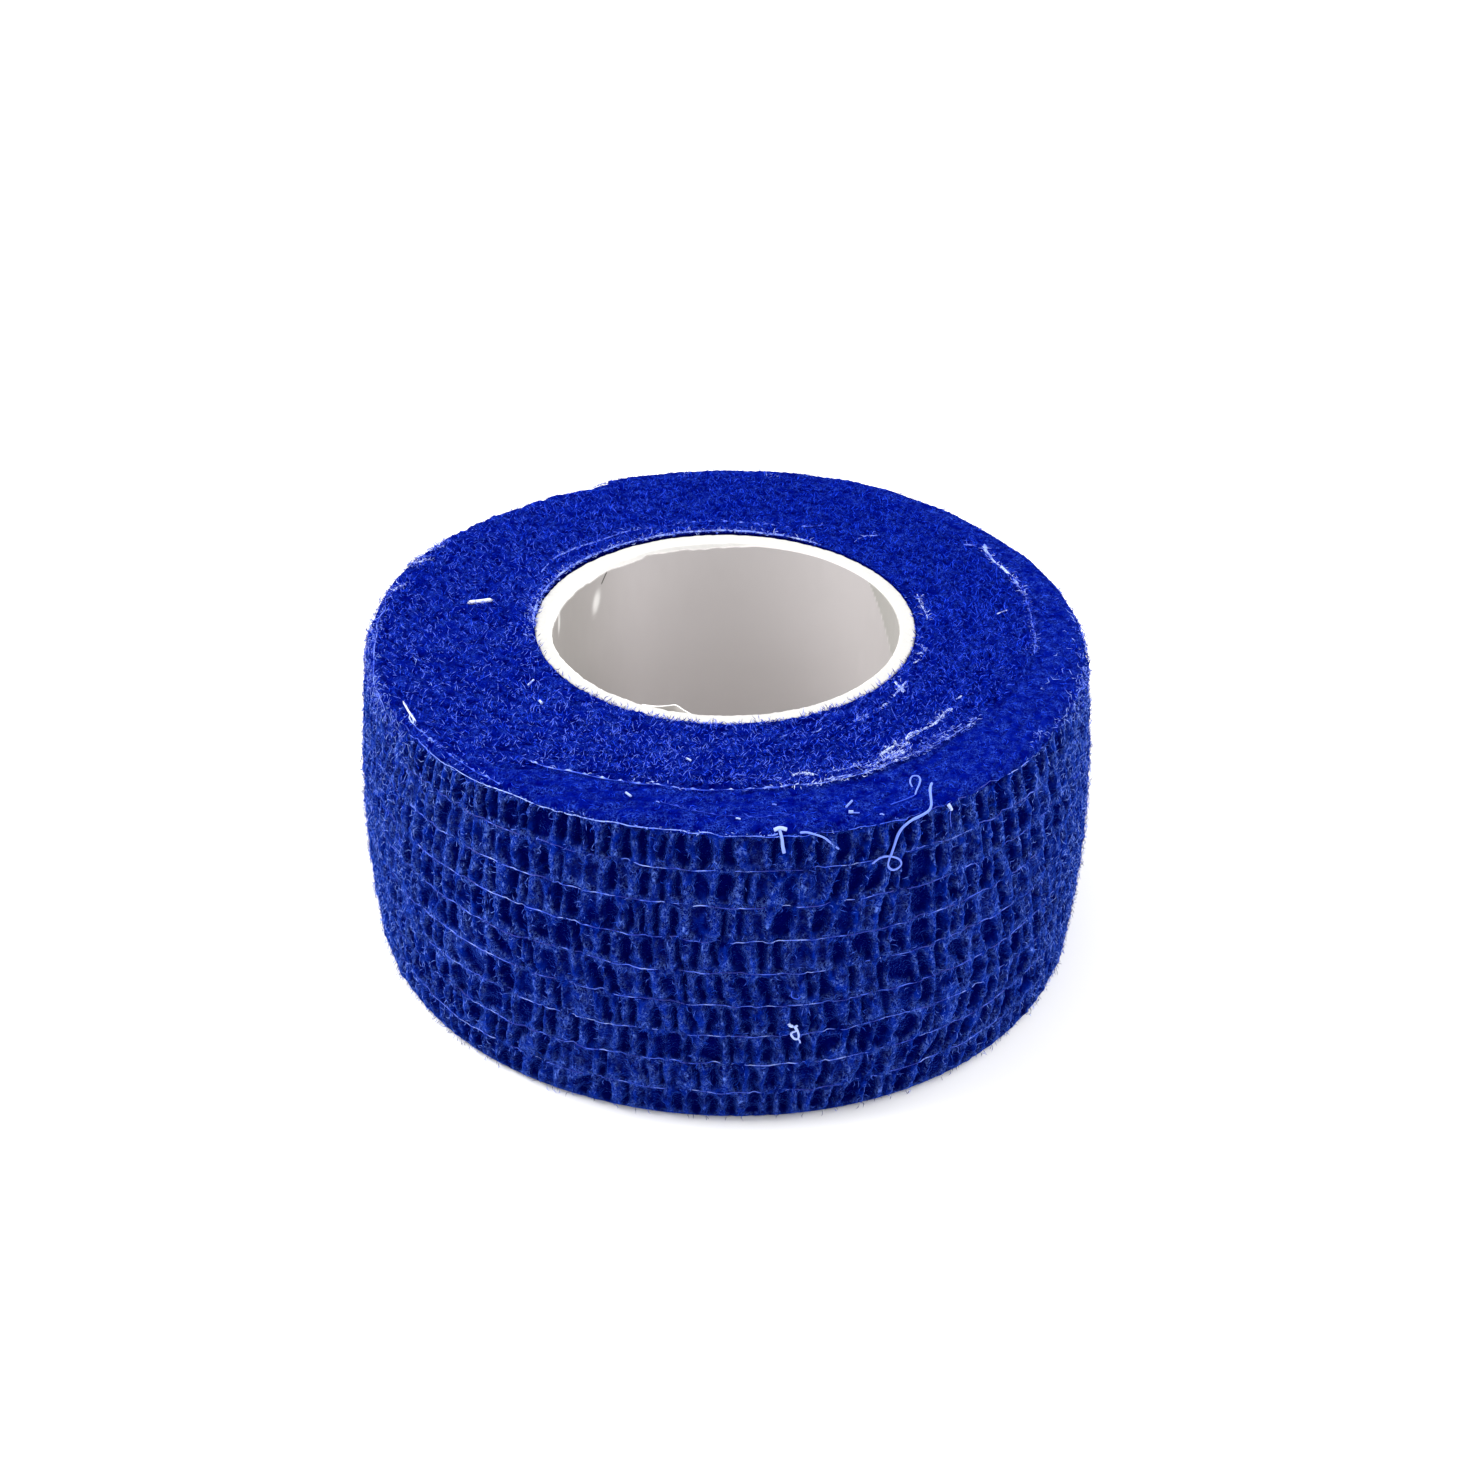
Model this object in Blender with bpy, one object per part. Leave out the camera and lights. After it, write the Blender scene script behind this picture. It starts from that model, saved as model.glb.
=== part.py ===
"""A roll of cohesive crepe bandage wound on a short paper core.

Metres, +Z up. The origin is on the roll's axis, at the flat face that it stands on.
The roll is two pieces: the wound strip of crepe cloth, as one ring of its wound form,
and the paper core that it is wound on. Angles are measured from +X towards +Y.
"""

import bmesh
import bpy
from math import cos, pi, radians, sin

# ---- driving dimensions -------------------------------------------------------------

STRIP_WIDTH = 0.0250  # the cloth's width, which is the height of the outer turn
TURN_THICKNESS = 0.00066  # one relaxed turn of crepe
CUT_END_ANGLE = radians(112)  # where the outer turn ends, on the side away from the front
CUT_END_LENGTH = 0.0003  # along the roll, how far the cut edge slopes

TOP_RADIUS = 0.02685  # the side, where it turns over into the top face
WAIST_RADIUS = 0.02796  # the side at half height, where the roll bulges
FOOT_RADIUS = 0.02718  # the side, where it turns under into the base
TOP_ROUNDING = 0.0009
FOOT_ROUNDING = 0.0006

CORE_LENGTH = 0.0255  # a little longer than the cloth is wide
CORE_RADIUS = 0.01427
CORE_WALL = 0.00119
CORE_CHAMFER = 0.00012
CORE_GAP = 0.00034  # clear space between the core and the first turn
LOOSE_GAP = 0.00035  # more of it where the first turn has come away from the core
LOOSE_ANGLE = radians(145)

# The strip carries lengthwise threads. The crepe swells into a low row between each two.
THREADS = 9
THREAD_SPACING = 0.00272
FIRST_THREAD_BELOW_EDGE = 0.0005
ROW_SWELL = 0.00016
POINTS_PER_ROW = 3

# The outermost turns stand a little lower than the rest and form a band on the top face.
BAND_WIDTH = 0.0030
BAND_GROOVE_DEPTH = 0.00018
BAND_GROOVE_WIDTH = 0.0007
TOP_FACE_CROWN = 0.00042  # how far the top face rises from the band to the core

# Slow unevenness of the winding: waves round the roll, height of each, and its angle.
GIRTH_WAVES = (
    # waves, height, angle of a crest
    (2, 0.00015, radians(-36)),
    (3, 0.00008, radians(-60)),
    (5, 0.00004, radians(20)),
)
EDGE_WAVES = (
    (2, 0.00006, radians(-130)),
    (4, 0.00014, radians(-108)),
    (7, 0.00003, radians(10)),
)

CLOTH_STEPS = 96  # columns of faces round the cloth
CORE_STEPS = 80  # and round the core
ARC_POINTS = 4  # points on each rounded edge
FACE_POINTS = 4  # points across the inner part of the top face

CLOTH_BLUE = "16289E"
CORE_WHITE = "F1F0EC"


# ---- the wound form -----------------------------------------------------------------


def waves(table, angle):
    """Sum of the table's slow waves at an angle."""
    return sum(height * cos(count * (angle - crest)) for count, height, crest in table)


def spiral_offset(share):
    """How far the outer turn stands out, at a share of the way round to its cut end."""
    return TURN_THICKNESS * (share - 0.5)


def side_radius(height):
    """A parabola through the radii of the foot, the waist and the top."""
    share = height / STRIP_WIDTH
    ends = FOOT_RADIUS + (TOP_RADIUS - FOOT_RADIUS) * share
    bulge = WAIST_RADIUS - (FOOT_RADIUS + TOP_RADIUS) / 2
    return ends + 4 * bulge * share * (1 - share)


def thread_height(number):
    """Height of a lengthwise thread, counted from the top edge."""
    return STRIP_WIDTH - FIRST_THREAD_BELOW_EDGE - number * THREAD_SPACING


def quarter_turn():
    """The angles of a rounded edge's points."""
    return [pi / 2 * step / (ARC_POINTS - 1) for step in range(ARC_POINTS)]


def foot_arc():
    """The rounded edge from the base out to the side: (radius, height) points."""
    r = FOOT_ROUNDING
    centre = side_radius(r) - r
    return [(centre + r * sin(a), r * (1 - cos(a))) for a in quarter_turn()]


def crepe_rows():
    """The side from the foot to the last thread: low swellings between the threads."""
    lowest = thread_height(THREADS - 1)
    selvedge = (lowest + FOOT_ROUNDING) / 2
    points = [(side_radius(selvedge) + ROW_SWELL, selvedge)]
    for row in range(THREADS - 1):
        for step in range(POINTS_PER_ROW):
            share = step / POINTS_PER_ROW
            height = lowest + (row + share) * THREAD_SPACING
            points.append((side_radius(height) + ROW_SWELL * sin(pi * share), height))
    return points


def top_arc():
    """The rounded edge from the side over onto the band."""
    r = TOP_ROUNDING
    low = STRIP_WIDTH - r
    centre = side_radius(low) - r
    return [(centre + r * cos(a), low + r * sin(a)) for a in quarter_turn()]


def top_face(inner_radius):
    """The band, the groove at its inner side, and the turns from there to the core."""
    groove = TOP_RADIUS - BAND_WIDTH
    points = [
        (groove + BAND_GROOVE_WIDTH, STRIP_WIDTH),
        (groove, STRIP_WIDTH - BAND_GROOVE_DEPTH),
    ]
    start = groove - BAND_GROOVE_WIDTH
    for step in range(FACE_POINTS):
        share = step / (FACE_POINTS - 1)
        radius = start + (inner_radius - start) * share
        points.append((radius, STRIP_WIDTH + TOP_FACE_CROWN * share))
    return points


def cloth_section(share):
    """The ring's closed section, at a share of the way round from the cut end."""
    angle = CUT_END_ANGLE + 2 * pi * share
    loose = max(0.0, cos(angle - LOOSE_ANGLE)) ** 3
    inner_radius = CORE_RADIUS + CORE_GAP + LOOSE_GAP * loose
    outward = spiral_offset(share) + waves(GIRTH_WAVES, angle)
    upward = waves(EDGE_WAVES, angle)
    outline = [(inner_radius, 0.0)] + foot_arc() + crepe_rows() + top_arc()
    outline += top_face(inner_radius)
    points = []
    for radius, height in outline:
        # The unevenness fades to nothing at the first turn and at the base.
        reach = (radius - inner_radius) / (TOP_RADIUS - inner_radius)
        lift = min(1.0, height / STRIP_WIDTH) ** 2
        radius += outward * reach
        height += upward * lift * reach
        points.append((radius * cos(angle), radius * sin(angle), height))
    return points


def core_section(angle):
    """The paper tube's section: a rectangle with its four corners taken off."""
    outer, inner = CORE_RADIUS, CORE_RADIUS - CORE_WALL
    c = CORE_CHAMFER
    outline = [
        (inner + c, 0.0),
        (outer - c, 0.0),
        (outer, c),
        (outer, CORE_LENGTH - c),
        (outer - c, CORE_LENGTH),
        (inner + c, CORE_LENGTH),
        (inner, CORE_LENGTH - c),
        (inner, c),
    ]
    return [(r * cos(angle), r * sin(angle), z) for r, z in outline]


# ---- objects ------------------------------------------------------------------------


def linear(hex_colour):
    """A six-figure sRGB colour as linear red, green, blue and alpha."""
    parts = [int(hex_colour[i : i + 2], 16) / 255 for i in (0, 2, 4)]
    return [
        p / 12.92 if p <= 0.04045 else ((p + 0.055) / 1.055) ** 2.4 for p in parts
    ] + [1.0]


def material(name, hex_colour, roughness):
    """A plain non-metal with one colour."""
    made = bpy.data.materials.new(name)
    made.use_nodes = True
    shader = made.node_tree.nodes["Principled BSDF"]
    shader.inputs["Base Color"].default_value = linear(hex_colour)
    shader.inputs["Roughness"].default_value = roughness
    shader.inputs["Metallic"].default_value = 0.0
    return made


def ring(name, sections, finish):
    """Joins closed sections, one after another round the axis, into one closed ring."""
    bm = bmesh.new()
    loops = [[bm.verts.new(point) for point in section] for section in sections]
    for here, there in zip(loops, loops[1:] + loops[:1]):
        for i, corner in enumerate(here):
            following = (i + 1) % len(here)
            bm.faces.new((corner, here[following], there[following], there[i]))
    bmesh.ops.recalc_face_normals(bm, faces=bm.faces)
    mesh = bpy.data.meshes.new(name)
    bm.to_mesh(mesh)
    bm.free()
    mesh.shade_smooth()
    mesh.set_sharp_from_angle(angle=radians(40))
    mesh.materials.append(finish)
    made = bpy.data.objects.new(name, mesh)
    bpy.context.scene.collection.objects.link(made)
    return made


def wound_cloth():
    """The strip as it is wound, with the step that its cut end leaves on the outside."""
    shares = [step / CLOTH_STEPS for step in range(CLOTH_STEPS)]
    shares.append(1.0 - CUT_END_LENGTH / (2 * pi * WAIST_RADIUS))
    finish = material("crepe cloth", CLOTH_BLUE, 0.9)
    return ring("wound_cloth", [cloth_section(share) for share in shares], finish)


def paper_core():
    """The paper tube inside the cloth, level with the base and with the first turns."""
    angles = [2 * pi * step / CORE_STEPS for step in range(CORE_STEPS)]
    finish = material("core paper", CORE_WHITE, 0.7)
    return ring("paper_core", [core_section(angle) for angle in angles], finish)


for old in list(bpy.data.objects):
    bpy.data.objects.remove(old, do_unlink=True)
wound_cloth()
paper_core()
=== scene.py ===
from math import cos, pi, radians, sin

import bpy
import numpy as np
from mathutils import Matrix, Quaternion, Vector


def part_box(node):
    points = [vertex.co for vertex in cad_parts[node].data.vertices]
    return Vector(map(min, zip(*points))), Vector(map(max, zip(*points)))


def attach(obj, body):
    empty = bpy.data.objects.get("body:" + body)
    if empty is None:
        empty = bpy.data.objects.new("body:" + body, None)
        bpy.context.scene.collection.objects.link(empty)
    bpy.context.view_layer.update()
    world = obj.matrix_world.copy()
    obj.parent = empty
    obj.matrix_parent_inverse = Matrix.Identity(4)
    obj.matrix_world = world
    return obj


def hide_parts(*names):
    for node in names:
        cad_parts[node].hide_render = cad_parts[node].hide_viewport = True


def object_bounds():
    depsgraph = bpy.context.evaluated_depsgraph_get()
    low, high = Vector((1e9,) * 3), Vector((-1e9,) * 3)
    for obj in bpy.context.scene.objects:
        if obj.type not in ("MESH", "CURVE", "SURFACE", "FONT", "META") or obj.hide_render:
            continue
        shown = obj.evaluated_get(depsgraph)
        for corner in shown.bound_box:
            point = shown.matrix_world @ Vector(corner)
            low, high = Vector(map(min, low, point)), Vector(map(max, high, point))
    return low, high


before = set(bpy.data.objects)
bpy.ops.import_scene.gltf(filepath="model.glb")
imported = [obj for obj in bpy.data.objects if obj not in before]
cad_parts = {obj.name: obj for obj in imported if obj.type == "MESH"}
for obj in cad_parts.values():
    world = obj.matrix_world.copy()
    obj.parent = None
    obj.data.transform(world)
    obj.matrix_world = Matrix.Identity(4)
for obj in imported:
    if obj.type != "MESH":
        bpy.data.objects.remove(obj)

cad_low, cad_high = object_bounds()
mm = 0.001

# ---- Camera, light and floor ----------------------------------------------------------
# The photograph's own view: from the front and about 32 degrees above, close by, so that
# the roll narrows towards its foot. The light is a big soft one, over a pale plain floor.

IMAGE_HEIGHT = 1471  # pixels
FOCAL_LENGTH = 2600  # pixels, worked out from the outlines of the rim, core and foot
SENSOR = 36.0  # mm, along the picture's longer side, which is its height
CAMERA_PLACE = Vector((-0.49, -170.2, 123.2)) * mm
LOOKING_DOWN = radians(32.33)
LOOKING_ASIDE = radians(0.43)
LEANING = radians(0.78)
NEAREST, FURTHEST = 10 * mm, 10.0  # m, what the camera shows
LAMPS = (
    # name, place in m, side in m, watts
    ("left", (-0.42, 0.08, 0.56), 0.45, 6.6),
    ("right", (0.46, 0.10, 0.44), 0.45, 3.0),
    ("front", (0.10, -0.60, 0.46), 0.50, 1.5),
)
SURROUND_STRENGTH = 0.78
FLOOR_REACH = 3.0  # m from the roll to each edge of the floor


def linear(hex_colour):
    """sRGB hex to linear red, green, blue and alpha: (c + 0.055) / 1.055 to the power 2.4."""
    parts = np.array([int(hex_colour[i : i + 2], 16) / 255 for i in (0, 2, 4)])
    low, high = parts / 12.92, ((parts + 0.055) / 1.055) ** 2.4
    return [*np.where(parts <= 0.04045, low, high).tolist(), 1.0]


def add(tree, kind, *values, output=None, **named):
    """Adds one node and gives its output: the named one, or else the first that is in use. Plain
    values go to its sockets in use, in turn. A named value is a setting of the node, or goes to
    the socket of that name, with _ for a space. Each is a number, a colour or another output."""
    node = tree.nodes.new("ShaderNode" + kind)
    for name in [name for name in named if hasattr(node, name)]:
        setattr(node, name, named.pop(name))
    links = [*zip([socket for socket in node.inputs if socket.enabled], values)]
    links += [(node.inputs[name.replace("_", " ")], value) for name, value in named.items()]
    for socket, value in links:
        if isinstance(value, bpy.types.NodeSocket):
            tree.links.new(value, socket)
        else:
            socket.default_value = value
    return node.outputs[output] if output else next(out for out in node.outputs if out.enabled)


def new_material(name, **constants):
    """A material of a Principled shader and its output, with constants on the shader's sockets."""
    made = bpy.data.materials.new(name)
    made.use_nodes = True
    shader = made.node_tree.nodes["Principled BSDF"]
    for key, value in constants.items():
        shader.inputs[key.replace("_", " ")].default_value = value
    return made, made.node_tree, shader


def put(name, points, faces, material, smooth=True, **attributes):
    """Makes an object of points and faces, with one number for each point in each attribute."""
    mesh = bpy.data.meshes.new(name)
    mesh.from_pydata(points.reshape(-1, 3).tolist(), [], faces)
    for key, values in attributes.items():
        layer = mesh.attributes.new(key, "FLOAT", "POINT")
        layer.data.foreach_set("value", values.astype(np.float32).ravel())
    if smooth:
        mesh.shade_smooth()
    mesh.materials.append(material)
    made = bpy.data.objects.new(name, mesh)
    bpy.context.scene.collection.objects.link(made)
    return made


def aim(made, place, way):
    """Puts a camera or a lamp at a place, looking that way, upright, and into the scene."""
    made.location = place
    made.rotation_mode = "QUATERNION"
    made.rotation_quaternion = way.to_track_quat("-Z", "Y")
    bpy.context.scene.collection.objects.link(made)


camera_data = bpy.data.cameras.new("camera")
camera_data.sensor_width = SENSOR
camera_data.lens = SENSOR * FOCAL_LENGTH / IMAGE_HEIGHT
camera_data.clip_start, camera_data.clip_end = NEAREST, FURTHEST
camera = bpy.data.objects.new("camera", camera_data)
level_way = Vector((sin(LOOKING_ASIDE), cos(LOOKING_ASIDE), 0)) * cos(LOOKING_DOWN)
aim(camera, CAMERA_PLACE, level_way - Vector((0, 0, sin(LOOKING_DOWN))))
camera.rotation_quaternion = camera.rotation_quaternion @ Quaternion((0, 0, 1), LEANING)
bpy.context.scene.camera = camera
bpy.context.scene.view_settings.view_transform = "Standard"

middle = Vector((0, 0, cad_high.z / 2))
for name, place, side, watts in LAMPS:
    lamp = bpy.data.lights.new(name, "AREA")
    lamp.size, lamp.energy = side, watts
    aim(bpy.data.objects.new(name, lamp), place, middle - Vector(place))
world = bpy.data.worlds.new("studio")
world.use_nodes = True
world.node_tree.nodes["Background"].inputs["Color"].default_value = linear("FFFFFF")
world.node_tree.nodes["Background"].inputs["Strength"].default_value = SURROUND_STRENGTH
bpy.context.scene.world = world

# Matt painted board: nothing shows in it but soft shade.
floor_paint = new_material("matt white board", Base_Color=linear("F4F4F3"), Roughness=0.9)[0]
corners = np.array([(-1, -1, 0), (1, -1, 0), (1, 1, 0), (-1, 1, 0)]) * FLOOR_REACH
floor = put("floor", corners, [(0, 1, 2, 3)], floor_paint, smooth=False)

# ---- The outer turns: the crinkled face of the cloth -----------------------------------
# A strip of nonwoven crepe, about 0.66 mm thick, wound tight round the roll. The crepe is
# gathered lengthwise, so it stands in upright ridges with deep narrow pits between them,
# held in rows by lengthwise elastic threads. Its outermost turn ends at the back.

STRIP_WIDTH = 25.0 * mm
TURN = 0.66 * mm  # one turn of cloth
CUT_END = radians(112)  # the outer turn's cut end, at the back
CUT_SLOPE = 0.3 * mm
TOP_RADIUS = 26.85 * mm
WAIST_RADIUS = 27.96 * mm
FOOT_RADIUS = 27.18 * mm
GIRTH = 2 * pi * WAIST_RADIUS
TOP_ROUNDING = 0.9 * mm
FOOT_ROUNDING = 0.6 * mm
GIRTH_WAVES = ((2, 0.15, -36), (3, 0.08, -60), (5, 0.04, 20))  # waves, height mm, crest deg
EDGE_WAVES = ((2, 0.06, -130), (4, 0.14, -108), (7, 0.03, 10))
THREADS = 9
THREAD_SPACING = 2.72 * mm
FIRST_THREAD = STRIP_WIDTH - 0.5 * mm  # height of the top lengthwise thread
ROW_SWELL = 0.16 * mm
RIDGE_SPACING = 1.38 * mm
RIDGE_HEIGHT = 0.16 * mm
ROW_SHIFT, SLOW_SHIFT, QUICK_SHIFT = 0.40, 0.9, 0.13  # ridges
HANDED_ON = (0.36, 0.5)  # rows from a row's middle, over which its shift eases to its neighbour's
PIT_DEPTH = 0.66 * mm
SHALLOWEST = 0.45  # as a share of the deepest
PIT_EDGE = (0.25, 1.45)  # the sums between which a pit's wall rises
PIT_RAGGED = 0.60  # how much lumps add to the sum
PIT_SHAPE = (
    # seed, least, most: half width in ridges, half height in rows, lean and rise in rows
    (14, 0.19, 0.45), (15, 0.40, 0.50), (16, -0.13, 0.13), (17, -0.05, 0.05),
)
PIT_OPENING = (
    # degrees, how open the pits are: fluff fills them on the left and the right
    (-180, 0.4), (-160, 0.45), (-142, 0.8), (-125, 1), (-48, 1), (-30, 0.85), (-12, 0.5), (8, 0.45),
    (40, 0.8), (150, 0.8),
)
SUNK = 0.26 * mm  # how much lower the crests would stand if the pits were quite closed
WRINKLES = (
    # seed, relief mm, width along mm, height mm
    (21, 0.050, 0.40, 0.95), (22, 0.060, 0.62, 0.30), (23, 0.035, 0.26, 0.32),
)
SIDE_COLUMNS = 888
SIDE_ROWS = 96
CURLS = ((1.0, 0.035), (0.55, 0.045))  # curly lines: size, in a cloth's curl, and width
LINE_PALENESS = 0.55
GRAIN = 0.17 * mm  # coarser than the real fibres, so that it shows, as the curls are
GRAIN_DEPTH = 0.16 * mm
# Noise, or depth in a pit, from which the patches of fur, the open part, the flecks and the
# mottles start, and at which they are full.
FURRY, OPEN, FLECKED, MOTTLED = (0.38, 0.66), (0.6, 0.1), (0.55, 0.67), (0.36, 0.66)


def waves(table, angle):
    """The sum of height times cosine of (count times the angle from the crest)."""
    return sum(h * mm * np.cos(n * (angle - radians(crest))) for n, h, crest in table)


def angle_at(share):
    """The angle at a share of the way round from the cut end."""
    return CUT_END + 2 * pi * share


def by_angle(table, angle, column=1):
    """A column of a table whose rows start with degrees, in straight lines between the rows."""
    rows = np.array(table)
    return np.interp(np.degrees(angle), rows[:, 0], rows[:, column], period=360)


def around(radius, angle, height):
    """Points or directions (radius times cosine, radius times sine, height)."""
    return np.stack(np.broadcast_arrays(radius * np.cos(angle), radius * np.sin(angle), height), -1)


def side_radius(height):
    """A parabola through the foot's, the waist's and the top's radius."""
    share = height / STRIP_WIDTH
    ends = FOOT_RADIUS + (TOP_RADIUS - FOOT_RADIUS) * share
    bulge = WAIST_RADIUS - (FOOT_RADIUS + TOP_RADIUS) / 2
    return ends + 4 * bulge * share * (1 - share)


def ease(low, high, value):
    """0 below low, 1 above high, and 3t^2 - 2t^3 between them."""
    t = np.clip((value - low) / (high - low), 0, 1)
    return t * t * (3 - 2 * t)


def chance(seed, x, y):
    """A fixed random number from 0 to 1 for each pair of whole numbers. Each pattern has a seed
    of its own."""
    table = np.random.default_rng(seed).random((256, 256))
    return table[x.astype(int) % 256, y.astype(int) % 256]


def lumps(seed, x, y):
    """Random numbers from -1 to 1 at whole numbers, eased between them: lumps one unit wide."""
    left, low = np.floor(x), np.floor(y)
    a, b = ease(0, 1, x - left), ease(0, 1, y - low)
    near = chance(seed, left, low) * (1 - a) + chance(seed, left + 1, low) * a
    far = chance(seed, left, low + 1) * (1 - a) + chance(seed, left + 1, low + 1) * a
    return 2 * (near * (1 - b) + far * b) - 1


def layered(table, x, y):
    """The sum of lumps of each row: seed, height, width along x and width along y."""
    return sum(high * lumps(seed, x / wide, y / tall) for seed, high, wide, tall in table)


def crepe(along, height):
    """Relief of the crepe, and three shares from 0 to 1: how deep in a pit a point is, how far
    it is raised, and how near to a ridge's crest. Along the roll a point's place is counted in
    ridges, after slow and quick shifts and one of its row's own, which eases into the next
    row's at a thread. A pit lies midway between two ridges and two threads, where a sum is
    under about 1: the side distance over its half width to the power 2.2, the upright one over
    its half height to the power 3.2, and lumps. The width, height, depth and lean of each pit
    are random. Fine wrinkles run up the ridges and across them. Where the pits are closed, the
    face lies lower, so that with its fluff it keeps the roll's outline."""
    level = (FIRST_THREAD - height) / THREAD_SPACING
    row = np.floor(level)
    across = level - row - 0.5  # -0.5 at the thread above, 0.5 at the one below
    handed_on = ease(*HANDED_ON, np.abs(across)) / 2
    neighbour = row + np.sign(across)
    place = along / RIDGE_SPACING
    own = lumps(11, place * 0.9, row * 7.3) * (1 - handed_on)
    own = own + lumps(11, place * 0.9, neighbour * 7.3) * handed_on
    place = place + ROW_SHIFT * own + SLOW_SHIFT * lumps(12, place / 9, level / 3)
    place = place + QUICK_SHIFT * lumps(13, place * 2.1, level * 2.6)
    cell = np.floor(place)
    beside = place - cell - 0.5
    half_width, half_height, lean, rise = (
        least + (most - least) * chance(seed, cell, row) for seed, least, most in PIT_SHAPE
    )
    opening = by_angle(PIT_OPENING, CUT_END + along / WAIST_RADIUS)
    depth = SHALLOWEST + (1 - SHALLOWEST) * ease(0.05, 0.45, chance(18, cell, row))
    sideways = np.abs(beside - lean * across) / half_width
    upright = np.abs(across - rise) / half_height
    outline = sideways**2.2 + upright**3.2 + PIT_RAGGED * lumps(19, place * 4.3, level * 6.5)
    pit = depth * opening * (1 - ease(*PIT_EDGE, outline))
    ridge = ease(0.15, 0.5, np.abs(beside)) * (0.3 + 0.7 * chance(20, np.round(place), row))
    swell = np.cos(pi * across)
    wrinkles = layered(WRINKLES, along / mm, height / mm) * (1 - 0.7 * pit)
    relief = ROW_SWELL * swell - PIT_DEPTH * pit + RIDGE_HEIGHT * ridge * swell + wrinkles * mm
    relief = relief - SUNK * (1 - opening)
    # The crest share and the raised share, lighter where wrinkles stand up and on the crests, give the cloth
    # a painted highlight.
    crest = ease(0.36, 0.47, np.abs(beside)) * ease(0.0, 0.4, swell)
    return relief, pit, np.clip(0.12 + wrinkles / 0.16 + 0.55 * crest, 0, 1), crest


def arc(centre, low, rounding, turn):
    """A rounded edge: centre + rounding * cos(turn), low + rounding * sin(turn), and the way out
    and up from it, the cosine and the sine."""
    out, up = np.cos(turn), np.sin(turn)
    return centre + rounding * out, low + rounding * up, out, up


def section(columns, *stretches):
    """A grid of that many columns from stretches of (radius, height, outward, upward), one under
    another. Each part of a stretch is one number, a row of them from top to bottom, or a grid."""
    grids = []
    for stretch in stretches:
        parts = [part if np.ndim(part) == 2 else np.reshape(part, (-1, 1)) for part in stretch]
        grids.append(np.broadcast_arrays(*parts, np.zeros(columns))[:4])
    return [np.concatenate(parts) for parts in zip(*grids)]


def ring_faces(rows, columns):
    """Four-sided faces that join each row to the next and each column to the next, both round."""
    here = np.arange(rows * columns).reshape(rows, columns)
    right, up = np.roll(here, -1, 1), np.roll(here, -1, 0)
    return np.stack([here, right, np.roll(up, -1, 1), up], -1).reshape(-1, 4).tolist()


def wind(radius, height, outward, upward, share, relief):
    """Points of a section carried round: each moves by its relief along its own direction, out
    by the spiral and the slow girth waves, and up by the slow edge waves. The spiral runs out
    by one turn's thickness from its start to its cut end. The last three fade to nothing at
    the core, and the edge waves also at the base."""
    angle = angle_at(share)
    reach = (radius - CORE_SIDE) / (TOP_RADIUS - CORE_SIDE)
    lift = np.clip(height / STRIP_WIDTH, 0, 1) ** 2
    out = radius + reach * (TURN * (share - 0.5) + waves(GIRTH_WAVES, angle)) + outward * relief
    top = height + reach * lift * waves(EDGE_WAVES, angle) + upward * relief
    return around(out, angle, np.maximum(top, 0))


def noise_lines(tree, place, size, width):
    """How near a point is to a curly line: 1 where a soft noise of that size is at its middle
    value, and 0 where it is further from it than the width."""
    wander = add(tree, "TexNoise", Vector=place, Scale=1 / size, Detail=1.0, Distortion=0.7)
    off = add(tree, "Math", wander, 0.5, operation="SUBTRACT")
    off = add(tree, "Math", off, operation="ABSOLUTE")
    return add(tree, "MapRange", off, width, 0.0, interpolation_type="SMOOTHSTEP")


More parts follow.
